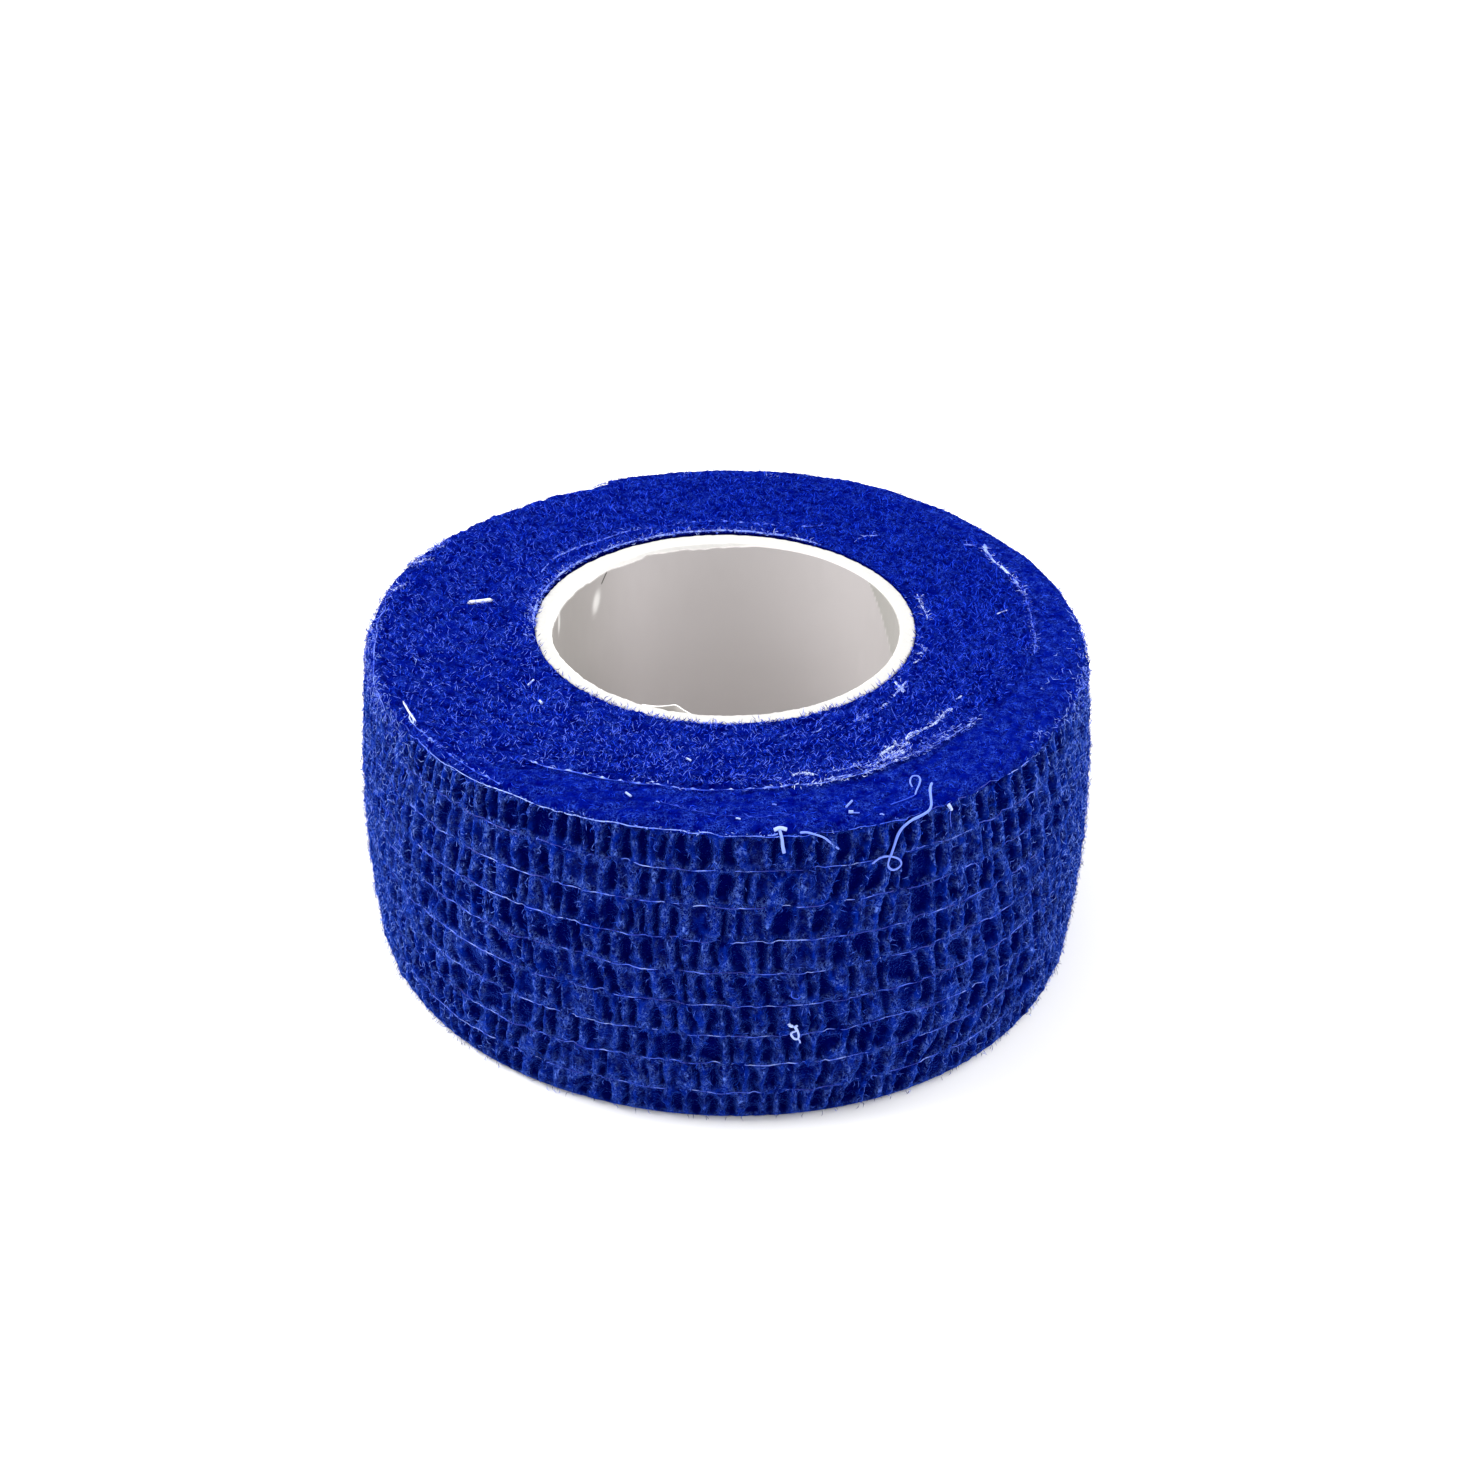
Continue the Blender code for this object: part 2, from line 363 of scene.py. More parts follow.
def cloth_look(name, colours, curl, flecks, tall, sheen):
    """Cloth from its attributes: the first colour low and the second high on the raised parts,
    which mixes random mottle with a painted highlight on lumps and crests, the third in the pits
    as painted shade, and the fourth on small flecks and curly fibre lines, which stay out of the
    pits, come in patches and gather on the crests, partly as a painted highlight. Mottles and
    flecks are as many times taller as `tall`."""
    made, tree, shader = new_material(
        name, Roughness=0.85, Specular_IOR_Level=0.0, Sheen_Weight=sheen, Sheen_Roughness=0.25,
        Sheen_Tint=linear("4070FF"),
    )
    place = add(tree, "TexCoord", output="Object")
    upright = add(tree, "VectorMath", place, (1.0, 1.0, 1 / tall), operation="MULTIPLY")
    pit, raised, crest = (
        add(tree, "Attribute", attribute_name=key, output="Fac") for key in ("pit", "raised", "crest")
    )
    patches = add(tree, "TexNoise", Vector=place, Scale=0.4 / curl, Detail=4.0, Roughness=0.6)
    patches = add(tree, "MapRange", patches, *FURRY, interpolation_type="SMOOTHSTEP")
    open_part = add(tree, "MapRange", pit, *OPEN, interpolation_type="SMOOTHSTEP")
    furry = add(tree, "Math", patches, open_part, operation="MULTIPLY")
    coarse, fine = (noise_lines(tree, place, curl * size, width) for size, width in CURLS)
    lines = add(tree, "Math", coarse, fine, operation="MAXIMUM")
    lines = add(tree, "Math", lines, LINE_PALENESS, operation="MULTIPLY")
    spots = add(tree, "TexNoise", Vector=upright, Scale=2.2 / curl, Detail=2.0, Distortion=0.5)
    spots = add(tree, "MapRange", spots, *FLECKED, interpolation_type="SMOOTHSTEP")
    near_crest = add(tree, "Math", crest, flecks, flecks / 2, operation="MULTIPLY_ADD")
    spots = add(tree, "Math", spots, near_crest, operation="MULTIPLY")
    fleck = add(tree, "Math", lines, spots, operation="MAXIMUM")
    fleck = add(tree, "Math", fleck, furry, operation="MULTIPLY")
    mottle = add(tree, "TexNoise", Vector=upright, Scale=0.9 / curl, Detail=4.0, Roughness=0.65)
    mottle = add(tree, "MapRange", mottle, *MOTTLED, -0.5, 0.7)
    raised = add(tree, "Math", raised, mottle, operation="ADD", use_clamp=True)
    seen = linear(colours[0])
    for share, colour in zip((raised, pit, fleck), colours[1:]):
        seen = add(tree, "Mix", share, seen, linear(colour), data_type="RGBA")
    tree.links.new(seen, shader.inputs["Base Color"])
    grain = add(tree, "TexNoise", Vector=place, Scale=1 / GRAIN, Detail=3.0, Distortion=0.8)
    grain = add(tree, "Math", fleck, 0.4, grain, operation="MULTIPLY_ADD")
    bump = add(tree, "Bump", Strength=1.0, Distance=GRAIN_DEPTH, Height=grain)
    tree.links.new(bump, shader.inputs["Normal"])
    return made


core_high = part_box("paper_core")[1]
CORE_SIDE = core_high.x + 0.34 * mm  # the first turn's inner face
foot_centre = side_radius(FOOT_ROUNDING) - FOOT_ROUNDING
top_low = STRIP_WIDTH - TOP_ROUNDING
top_centre = side_radius(top_low) - TOP_ROUNDING
side_height = np.linspace(FOOT_ROUNDING, top_low, SIDE_ROWS, endpoint=False)
hidden = foot_centre - 0.8 * mm  # the flat ends cover the outer turns from here inwards
radius, height, outward, upward = section(
    SIDE_COLUMNS,
    (np.linspace(hidden, foot_centre, 4, endpoint=False), 0.0, 0.0, 1.0),
    arc(foot_centre, FOOT_ROUNDING, FOOT_ROUNDING, np.linspace(-pi / 2, 0, 4, endpoint=False)),
    (side_radius(side_height), side_height, 1.0, 0.0),
    arc(top_centre, top_low, TOP_ROUNDING, np.linspace(0, radians(28), 4)),
    # and back inwards, out of sight under the top face
    (np.array([top_centre + 0.4 * mm, hidden]), np.array([24.3, 24.0]) * mm, 0.0, 0.0),
)
cut_share = CUT_SLOPE / GIRTH
share = np.append(np.linspace(0, 1 - cut_share, SIDE_COLUMNS - 1), 1 - cut_share / 2)[None, :]
crinkled = crepe(share * GIRTH + 0 * height, height)
on_side = ease(0.1 * mm, 0.7 * mm, height) * (outward > 0.5)
relief, pit, crest = (part * on_side for part in (crinkled[0], crinkled[1], crinkled[3]))
outer_points = wind(radius, height, outward, upward, share, relief)

# Deep blue painted shade in the pits, and a painted highlight on the ridges, with pale curls
# where fibres stand off. The rubbery coat on the crepe gives it no gloss, and its fur gives it
# a soft blue edge.
crepe_cloth = cloth_look(
    "crinkled crepe cloth", ("000244", "032086", "000148", "5C7CDC"),
    curl=0.42 * mm, flecks=0.9, tall=1.8, sheen=0.9,
)
outer_turns = put(
    "outer_turns", outer_points, ring_faces(*pit.shape), crepe_cloth,
    pit=pit, raised=crinkled[2], crest=crest,
)
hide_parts("wound_cloth")
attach(outer_turns, "root")

# ---- The flat ends: the cut edges of all the turns ---------------------------------------
# On both flat ends the edges of about twenty turns stand side by side. Slit from a wider
# cloth and pressed together, they look like dense felt, with faint rings. On top the last
# turns' edges form a smoother, slightly lower band, wide at the front and narrow on the left.

CROWN = 0.42 * mm
CROWN_FOOT = 23.85 * mm  # the radius where the top face starts to rise
FELT_COLUMNS = 780
FELT_TOP_ROWS = 64
FELT_BASE_ROWS = 14
RING_RELIEF = 0.015  # mm
# seed, relief mm, width round the roll mm, width across the turns mm
FELT_TUFTS = ((42, 0.130, 0.42, 0.40), (43, 0.115, 0.24, 0.27))
BAND_TUFTS = ((44, 0.090, 0.75, 0.55), (45, 0.060, 0.36, 0.33))
BASE_DEPTH = 0.1 * mm  # how far the base's felt lies inside the flat base
BAND_STEP = 0.11 * mm  # how far the felt stands above the band
CREASE = 0.10 * mm  # how deep it is, and how far outside the band's edge
CREASE_WIDTH = 0.13 * mm
BAND_EDGE = (
    # degrees, mm: the radius of the band's inner edge
    (-150, 26.2), (-131, 25.9), (-121, 22.9), (-108, 22.2), (-88, 21.9), (-60, 21.9), (-38, 21.6),
    (-8, 23.2), (13, 23.8), (34, 24.6), (90, 25.2), (150, 25.9),
)
CORE_GAP = (
    # degrees, mm: the gap beside the core, widest where the first turn has come away
    (-170, 0.1), (-150, 0.04), (-60, 0.02), (20, 0.04), (50, 0.14), (80, 0.26), (110, 0.32), (145, 0.42),
    (165, 0.34), (180, 0.18),
)


def beside_core(radius, angle):
    """Radii moved so that the first turn leaves the gap of the table, fading out by 1.2 mm."""
    moved = core_high.x - CORE_SIDE + by_angle(CORE_GAP, angle) * mm
    return radius + moved * (1 - ease(CORE_SIDE, CORE_SIDE + 1.2 * mm, radius))


def face_height(radius):
    """The top face is level near the rim, and rises evenly from there to the core."""
    share = (CROWN_FOOT - radius) / (CROWN_FOOT - CORE_SIDE)
    return STRIP_WIDTH + CROWN * np.clip(share, 0, 1)


wall_outer = hidden - 0.05 * mm
face_radius = np.linspace(top_centre, CORE_SIDE + 0.1 * mm, FELT_TOP_ROWS)
over = np.linspace(radians(14), pi / 2, 8, endpoint=False)
tucked = TOP_ROUNDING * np.where(over < radians(22), 0.75, 1.0)  # its edge goes under the crepe
radius, height, outward, upward = section(
    FELT_COLUMNS,
    (np.linspace(CORE_SIDE, wall_outer, FELT_BASE_ROWS, endpoint=False), 0.0, 0.0, -1.0),
    # up inside the crepe, out of sight
    (wall_outer, np.array([0.0, 24.1]) * mm, 0.0, 0.0),
    arc(top_centre, top_low, tucked, over),
    (face_radius, face_height(face_radius), 0.0, 1.0),
    # and down beside the core
    (CORE_SIDE, np.array([25.44, 25.36, 24.4, 18.0, 9.0]) * mm, 0.0, 0.0),
)
share = (np.arange(FELT_COLUMNS) / FELT_COLUMNS)[None, :]
angle = angle_at(share)
band_edge = by_angle(BAND_EDGE, angle) * mm
felted = 1 - ease(-0.15 * mm, 0.15 * mm, radius - band_edge)
across, round_it = radius / mm, share * 2 * pi * radius / mm
surface = radius + np.minimum(height - STRIP_WIDTH, 0) * (radius > top_centre)
rings = np.cos(2 * pi * ((radius - CORE_SIDE) / TURN - share))
tufts = RING_RELIEF * rings * (1 + lumps(41, round_it / 3.0, across / 2.0))
tufts = tufts + layered(FELT_TUFTS, round_it, across)
crease = np.exp(-(((radius - band_edge - CREASE) / CREASE_WIDTH) ** 2))
shape = tufts * felted + layered(BAND_TUFTS, round_it, surface / mm) * (1 - felted)
on_top = shape * mm + BAND_STEP * felted - CREASE * crease
relief = np.select([upward > 0, upward < 0], [on_top, tufts * 0.6 * mm - BASE_DEPTH], 0)
# The pit colour is painted shade: in the holes between tufts, in the crease by the band, and all over the
# walls, the hidden one and the one beside the core. Higher tufts are painted lighter, a painted highlight.
pit = np.clip(-shape / 0.13 * (0.45 + 0.55 * felted) - 0.1 + 0.5 * crease, 0, 1)
pit = np.where((outward == 0) & (upward == 0), 1.0, pit)
raised = np.clip(0.5 + shape / 0.22, 0, 1)
end_points = wind(beside_core(radius, angle), height, outward, upward, share, relief)

# Dense blue felt: brighter tufts, partly a painted highlight, with pale curls, and darker holes between
# them, painted shade.
felt_cloth = cloth_look(
    "felted cut edges", ("000158", "000C74", "00014A", "3860EC"),
    curl=0.40 * mm, flecks=0.5, tall=1.0, sheen=0.12,
)
flat_ends = put(
    "flat_ends", end_points, ring_faces(*pit.shape), felt_cloth,
    pit=pit, raised=raised, crest=0 * pit,
)
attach(flat_ends, "root")

# ---- Fluff: fibre ends on the cut edges and on the crepe --------------------------------
# The nonwoven sheds short curly fibres, a hundredth of a millimetre thick. They are drawn
# several times as thick here, so that they show, and fewer.

TOP_FLUFF, BAND_FLUFF, SIDE_FLUFF = 31000, 4500, 31000  # fibres
BASE_FLUFF, CUT_FLUFF = 3000, 1000
TUFTED_RADIUS = 22 * mm  # the fibres of the top face stay within this, and the band has its own
LOWEST = 0.03 * mm  # no fibre comes nearer than this to the floor
SIDE_COVER = (
    # degrees, how thickly the side is covered with fluff and how pale that is: most on the
    # left and the right, where the extra paleness is painted rim light
    (-180, 1, 1.6), (-160, 1, 1.4), (-146, 0.9, 1.1), (-128, 0.7, 0.8), (-90, 0.55, 0.5), (-50, 0.65, 0.8),
    (-32, 1, 1.1), (-18, 1, 1.7), (5, 0.9, 2.2), (40, 0.5, 0.5), (90, 0.4, 0.5), (150, 0.5, 0.6),
)
RIM_TUFTS = (
    # degrees, spread in degrees, mm down from the rim's start, spread in mm, length mm, fibres
    (150.5, 1.2, 0.1, 0.2, 0.5, 70), (153, 0.6, 0.1, 0.15, 0.45, 40), (157.4, 1.2, -0.1, 0.15, 0.55, 150),
    (159.4, 0.5, 0.3, 0.2, 0.5, 60), (167, 1.6, -0.2, 0.15, 0.45, 50), (171.5, 1, 0.2, 0.15, 0.45, 50),
    (176, 2, 0.1, 0.2, 0.45, 60), (-177, 2.5, 0.4, 0.3, 0.45, 90), (-165, 6, 1, 0.5, 0.5, 260),
    (-153, 4, 1.2, 0.4, 0.5, 160), (-146, 4, 0.3, 0.06, 0.2, 70), (-138, 4, 0.3, 0.06, 0.2, 60),
    (-150, 1.5, 1.6, 0.4, 0.6, 60), (-148, 6, 3, 0.9, 0.7, 70), (-88, 9, 1, 0.04, 0.22, 90),
    (-115, 14, 1, 0.04, 0.22, 120), (-34.5, 1.6, 0.3, 0.14, 0.45, 60), (-28.6, 1.3, 0.6, 0.14, 0.45, 30),
    (-22, 3, 0.8, 0.3, 0.45, 60), (-12, 6, 0.8, 0.3, 0.5, 90), (180, 8, -11.2, 0.1, 0.4, 260),
    (160, 9, -11.26, 0.06, 0.35, 150), (-172, 8, 1.4, 0.7, 0.5, 600), (-10, 9, 1.2, 0.6, 0.5, 400),
    (-157, 9, 7, 4.5, 0.6, 300), (-14, 9, 7, 4.5, 0.6, 260), (-90, 26, -11.62, 0.06, 0.3, 300),
    (-20, 18, -11.62, 0.06, 0.3, 120), (97.8, 0.6, -0.6, 0.2, 0.5, 16), (82.1, 0.6, -0.6, 0.2, 0.5, 16),
)


def unit(vectors):
    """Vectors of length one."""
    return vectors / np.linalg.norm(vectors, axis=-1, keepdims=True)


def strands(spines, thickness, away, sides=3):
    """Closed spindles along spines. The first and last points of a spine are its tips. Each
    point between them has a ring of corners round it, half the thickness away, at
    cos(a) * first + sin(a) * second. first is the run crossed with away, and second is the
    run crossed with first. It returns the points and the faces."""
    count, length, _ = spines.shape
    run = unit(spines[:, 2:] - spines[:, :-2])
    first = unit(np.cross(run, away))
    second = np.cross(run, first)
    a = np.arange(sides)[:, None] * 2 * pi / sides
    ring = np.cos(a) * first[:, :, None] + np.sin(a) * second[:, :, None]
    half = np.broadcast_to(thickness, (count, length - 2))[:, :, None, None] / 2
    corners = (spines[:, 1:-1, None] + half * ring).reshape(count, -1, 3)
    points = np.concatenate([spines[:, :1], corners, spines[:, -1:]], axis=1)
    each = points.shape[1]
    start = np.arange(count)[:, None, None] * each
    side = np.arange(sides)
    beside = np.roll(side, -1)
    ahead = np.arange(length - 3)[:, None] * sides + 1
    walls = [ahead + side, ahead + beside, ahead + beside + sides, ahead + side + sides]
    walls = start + np.stack([wall.ravel() for wall in walls], -1)
    last = each - 1 - sides
    near_tip = np.stack([0 * side, beside + 1, side + 1], -1)
    far_tip = np.stack([last + side, last + beside, 0 * side + each - 1], -1)
    tips = start + np.concatenate([near_tip, far_tip])
    return points.reshape(-1, 3), walls.reshape(-1, 4).tolist() + tips.reshape(-1, 3).tolist()


def curls(rng, roots, up, length, stand, bend, grain):
    """Spines of three points: root + length * (t * way + stand * t * up + bend * t(1-t) * side),
    for t of 0, 1/2 and 1. The way lies in the surface, and is upright more often the larger
    the grain is above 1. The side is any direction. No point goes below the floor."""
    count = len(roots)
    way = rng.normal(size=(count, 3)) * (1, 1, grain)
    way = unit(way - up * np.sum(way * up, -1, keepdims=True))
    side = unit(rng.normal(size=(count, 3)))
    t = np.linspace(0, 1, 3)[None, :, None]
    size = length * rng.uniform(0.6, 1.5, (count, 1, 1))
    rise = stand * rng.uniform(0, 1, (count, 1, 1))
    path = t * way[:, None] + t * rise * up[:, None] + bend * t * (1 - t) * side[:, None]
    spines = roots[:, None] + size * path
    spines[..., 2] = np.maximum(spines[..., 2], LOWEST)
    return spines


def fibre_look(name, stops, roughness=0.6, gloss=0.0):
    """A fibre whose colour is the one between the stops, (paleness, sRGB hex) pairs in rising
    order, at its own paleness."""
    made, tree, shader = new_material(name, Roughness=roughness, Specular_IOR_Level=gloss)
    colour = add(tree, "ValToRGB", add(tree, "Attribute", attribute_name="pale", output="Fac"))
    elements = colour.node.color_ramp.elements
    while len(elements) < len(stops):
        elements.new(0.5)
    for element, (at, hex_colour) in zip(elements, stops):
        element.position, element.color = at, linear(hex_colour)
    tree.links.new(colour, shader.inputs["Base Color"])
    return made


# Thin plastic fibres, from the cloth's own blue to nearly white. Those on the crepe are a
# darker copy: painted shade for the side, which gets less light than the top.
fibre = fibre_look("blue polyester fibre", ((0.0, "000C78"), (0.35, "1E46EC"), (1.0, "98B4FF")))
shaded_fibre = fibre_look(
    "blue fibre with painted shade", ((0.0, "000C5E"), (0.35, "1C48CC"), (1.0, "7898F8"))
)


def fluff_on(name, rng, roots, up, stuff, length, stand, bend, thickness, palest, grain=1):
    """A piece of fibres, with their mean length and thickness in mm. Two in five keep the
    cloth's blue, and the others' paleness runs evenly up to the palest, which is one number or
    one for each fibre."""
    spines = curls(rng, roots, up, length * mm, stand, bend, grain)
    away = unit(rng.normal(size=(len(roots), 1, 3)))
    points, faces = strands(spines, thickness * mm, away)
    each = len(points) // len(roots)
    pale = np.repeat(palest * ease(0.4, 1, rng.random(len(roots))), each)
    piece = put(name, points, faces, stuff, smooth=False, pale=pale)
    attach(piece, "root")


def on_cloth(angle, down, lift):
    """Points over the cloth at an angle, a distance down from where the top edge starts to
    round over (below 0 on the top face, inwards), and a height off the surface."""
    bend = np.clip(down / TOP_ROUNDING, 0, pi / 2)
    below = np.maximum(down - TOP_ROUNDING * pi / 2, 0)
    radius = top_centre + TOP_ROUNDING * np.sin(bend) + np.minimum(down, 0)
    radius = np.where(below > 0, side_radius(top_low - below), radius)
    round_height = top_low + TOP_ROUNDING * np.cos(bend) - below
    height = np.where(down <= 0, face_height(radius), round_height)
    share = ((angle - CUT_END) / (2 * pi)) % 1
    return wind(radius, height, np.sin(bend), np.cos(bend), share, lift)


def off_cloth(angle, down):
    """The direction straight off the cloth there: up on the face, and outwards on the side."""
    bend = np.clip(down / TOP_ROUNDING, 0, pi / 2)
    return around(np.sin(bend), angle, np.cos(bend))


def even_spread(rng, count, low, high):
    """Random distances from the axis, spread evenly by area between two."""
    return np.sqrt(rng.uniform(low**2, high**2, count))


rng = np.random.default_rng(51)
# Fibre ends stand up from the felt, and are palest at the front left.
radius = even_spread(rng, TOP_FLUFF, CORE_SIDE, top_centre)
angle = rng.uniform(0, 2 * pi, TOP_FLUFF)
in_felt = even_spread(rng, TOP_FLUFF, CORE_SIDE, TUFTED_RADIUS)
radius = np.where(radius > by_angle(BAND_EDGE, angle) * mm, in_felt, radius)
down = beside_core(radius, angle) - top_centre
front_left = 0.5 + 0.5 * np.cos(angle + radians(125))
fluff_on(
    "top_fluff", rng, on_cloth(angle, down, 0.12 * mm), off_cloth(angle, down), fibre,
    length=0.34, stand=1.3, bend=0.9, thickness=0.055, palest=0.36 + 0.26 * front_left,
)

# Fewer lie nearly flat on the band and over the rim.
angle, down = rng.uniform(0, 2 * pi, BAND_FLUFF), rng.uniform(-3.5, 1.0, BAND_FLUFF) * mm
fluff_on(
    "band_fluff", rng, on_cloth(angle, down, 0.03 * mm), off_cloth(angle, down), fibre,
    length=0.45, stand=0.3, bend=0.9, thickness=0.045, palest=0.35,
)

# Those of the crepe lie up and down its ridges, out of the pits.
tries = SIDE_FLUFF * 4  # of these, the pits and the cover leave more than enough
share, level = rng.random(tries), rng.uniform(0.3, 24.6, tries) * mm
relief, pit = crepe(share * GIRTH, level)[:2]
kept = (pit < 0.3) & (rng.random(tries) < by_angle(SIDE_COVER, angle_at(share)))
kept = np.flatnonzero(kept)[:SIDE_FLUFF]
share, level, relief = (part[kept] for part in (share, level, relief))
roots = wind(side_radius(level), level, 1.0, 0.0, share, relief)
fluff_on(
    "side_fluff", rng, roots, around(1.0, angle_at(share), 0.0), shaded_fibre,
    length=0.42, stand=0.7, bend=1.0, thickness=0.045,
    palest=by_angle(SIDE_COVER, angle_at(share), column=2), grain=2.2,
)

# Those of the base are pressed flat by what the roll stands on.
radius = even_spread(rng, BASE_FLUFF, CORE_SIDE, foot_centre)
roots = around(radius, rng.uniform(0, 2 * pi, BASE_FLUFF), 0.08 * mm)
fluff_on(
    "base_fluff", rng, roots, np.broadcast_to([0.0, 0.0, -1.0], roots.shape), fibre,
    length=0.36, stand=0.15, bend=0.4, thickness=0.045, palest=0.7,
)

# Thicker tufts stand along the rim, on the sides and beside the core.
tufts = np.array(RIM_TUFTS)
degrees, fan, middle, width, long, _ = np.repeat(tufts, tufts[:, 5].astype(int), axis=0).T
angle = np.radians(degrees + fan * rng.normal(size=len(degrees)))
down = (middle + width * rng.normal(size=len(degrees))) * mm
fluff_on(
    "rim_fluff", rng, on_cloth(angle, down, 0.10 * mm), off_cloth(angle, down), fibre,
    length=long[:, None, None], stand=0.5, bend=1.2, thickness=0.045, palest=0.95,
)

# The outer turn's cut end is frayed all the way up.
share = 1 - rng.uniform(0, 0.6, CUT_FLUFF) * cut_share
level = rng.uniform(0.2, 24.8, CUT_FLUFF) * mm
roots = wind(side_radius(level), level, 1.0, 0.0, share, -0.1 * mm)
fluff_on(
    "cut_fluff", rng, roots, around(1.0, angle_at(share) + pi / 2, 0.0), shaded_fibre,
    length=0.55, stand=1.6, bend=0.8, thickness=0.040, palest=0.9,
)

# ---- Lengthwise threads ------------------------------------------------------------------
# Fine elastic threads lie on the crepe along the strip, nine across its width. They bridge
# the pits, kink where they cross a ridge and here and there dip under its fluff. Each one
# ends in a short tail at the cut.

THREAD_THICKNESS = 0.075 * mm
THREAD_STRAY = ((61, 0.12, 1.1, 0.2), (62, 0.12, 6.0, 0.2))  # seed, mm up or down, mm along, threads
LIES, DIPS, SINKS = 0.05, 0.15, 0.12  # mm off the crepe, less at a dip, and less under thick fluff
THREAD_POINTS = 780
TAIL = 1.4 * mm
RIM_THREAD_SHOWS = (
    # degrees, how pale the thread along the rim is
    (-175, 0), (-156, 0), (-150, 0.1), (-144, 0.25), (-138, 0.5), (-125, 0.75), (-100, 0.6), (-92, 0.55),
    (-84, 0.4), (-81, 0.3), (-79.5, 0.4), (-76, 0.1), (-68, 0.3), (-64, 0.3), (-60, 0.05), (-48, 0.05),
    (-43, 0.5), (-36, 0.4), (-31, 0), (60, 0), (100, 0.2),
)
SIDE_THREAD_SHOWS = (
    # degrees, how much of the other threads' paleness is left by the fluff over them
    (-180, 0.05), (-163, 0.1), (-150, 0.25), (-143, 0.7), (-128, 1), (-72, 1), (-50, 0.8), (-40, 0.55),
    (-32, 0.25), (-18, 0.05), (5, 0.05), (40, 0.4), (110, 0.8), (150, 0.5),
)


def lay(name, spines, thickness, away, stuff, pale, sides=4):
    """A piece of threads along spines, with the thickness in m and the paleness at each point."""
    points, faces = strands(spines, thickness[:, 1:-1], away[:, 1:-1], sides)
    rings = np.repeat(pale[:, 1:-1], sides, axis=1)
    pale = np.concatenate([pale[:, :1], rings, pale[:, -1:]], axis=1)
    return put(name, points, faces, stuff, smooth=False, pale=pale)


# Springy thread: from the cloth's blue, where fluff covers it, to a pale lilac.
thread_stuff = fibre_look(
    "pale elastic thread", ((0.0, "00188C"), (0.35, "3058E0"), (1.0, "98B0FF")),
    roughness=0.35, gloss=0.3,
)

number = np.arange(THREADS)[:, None]
tail_share = TAIL / GIRTH
share = np.linspace(0.0, 1.0 + tail_share, THREAD_POINTS)[None, :] + 0 * number
along, angle = share * GIRTH, angle_at(share)
level = FIRST_THREAD - number * THREAD_SPACING + layered(THREAD_STRAY, along / mm, number) * mm
relief = crepe(along, level)[0]
dip = ease(0.2, 0.8, lumps(63, along / (1.6 * mm), number * 3.0))
past_end = np.maximum(share - 1, 0) / tail_share
on_rim, on_side = by_angle(RIM_THREAD_SHOWS, angle), by_angle(SIDE_THREAD_SHOWS, angle)
shown = np.where(number == 0, on_rim, on_side)
covered = SINKS * (1 - on_side) + LIES * (shown < 0.2)
proud = relief * 0.3 + (LIES - DIPS * dip * (number > 0) - covered - 0.5 * past_end) * mm
level = level + 0.5 * mm * past_end * (chance(64, number, number) - 0.5)
spines = wind(side_radius(level), level, 1.0, 0.0, share, proud)
thickness = THREAD_THICKNESS * (0.8 + 0.25 * shown + 0.15 * (number == 0) * on_rim)
thickness = thickness * (1 + 0.35 * lumps(65, along / (0.9 * mm), number * 3.0))
bridging = ease(0.02, 0.35, crepe(along, level - 0.25 * mm)[1])  # a pit lies just below
shine = 0.08 + 0.45 * bridging + 0.50 * lumps(66, along / (1.6 * mm), number * 3.0)
shine = np.where(number == 0, shine * 0.6 * on_rim + on_rim, shine * on_side)
threads = lay(
    "lengthwise_threads", spines, thickness, around(1.0, angle, 0.0), thread_stuff,
    np.clip(shine, 0.02, 1),
)
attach(threads, "root")
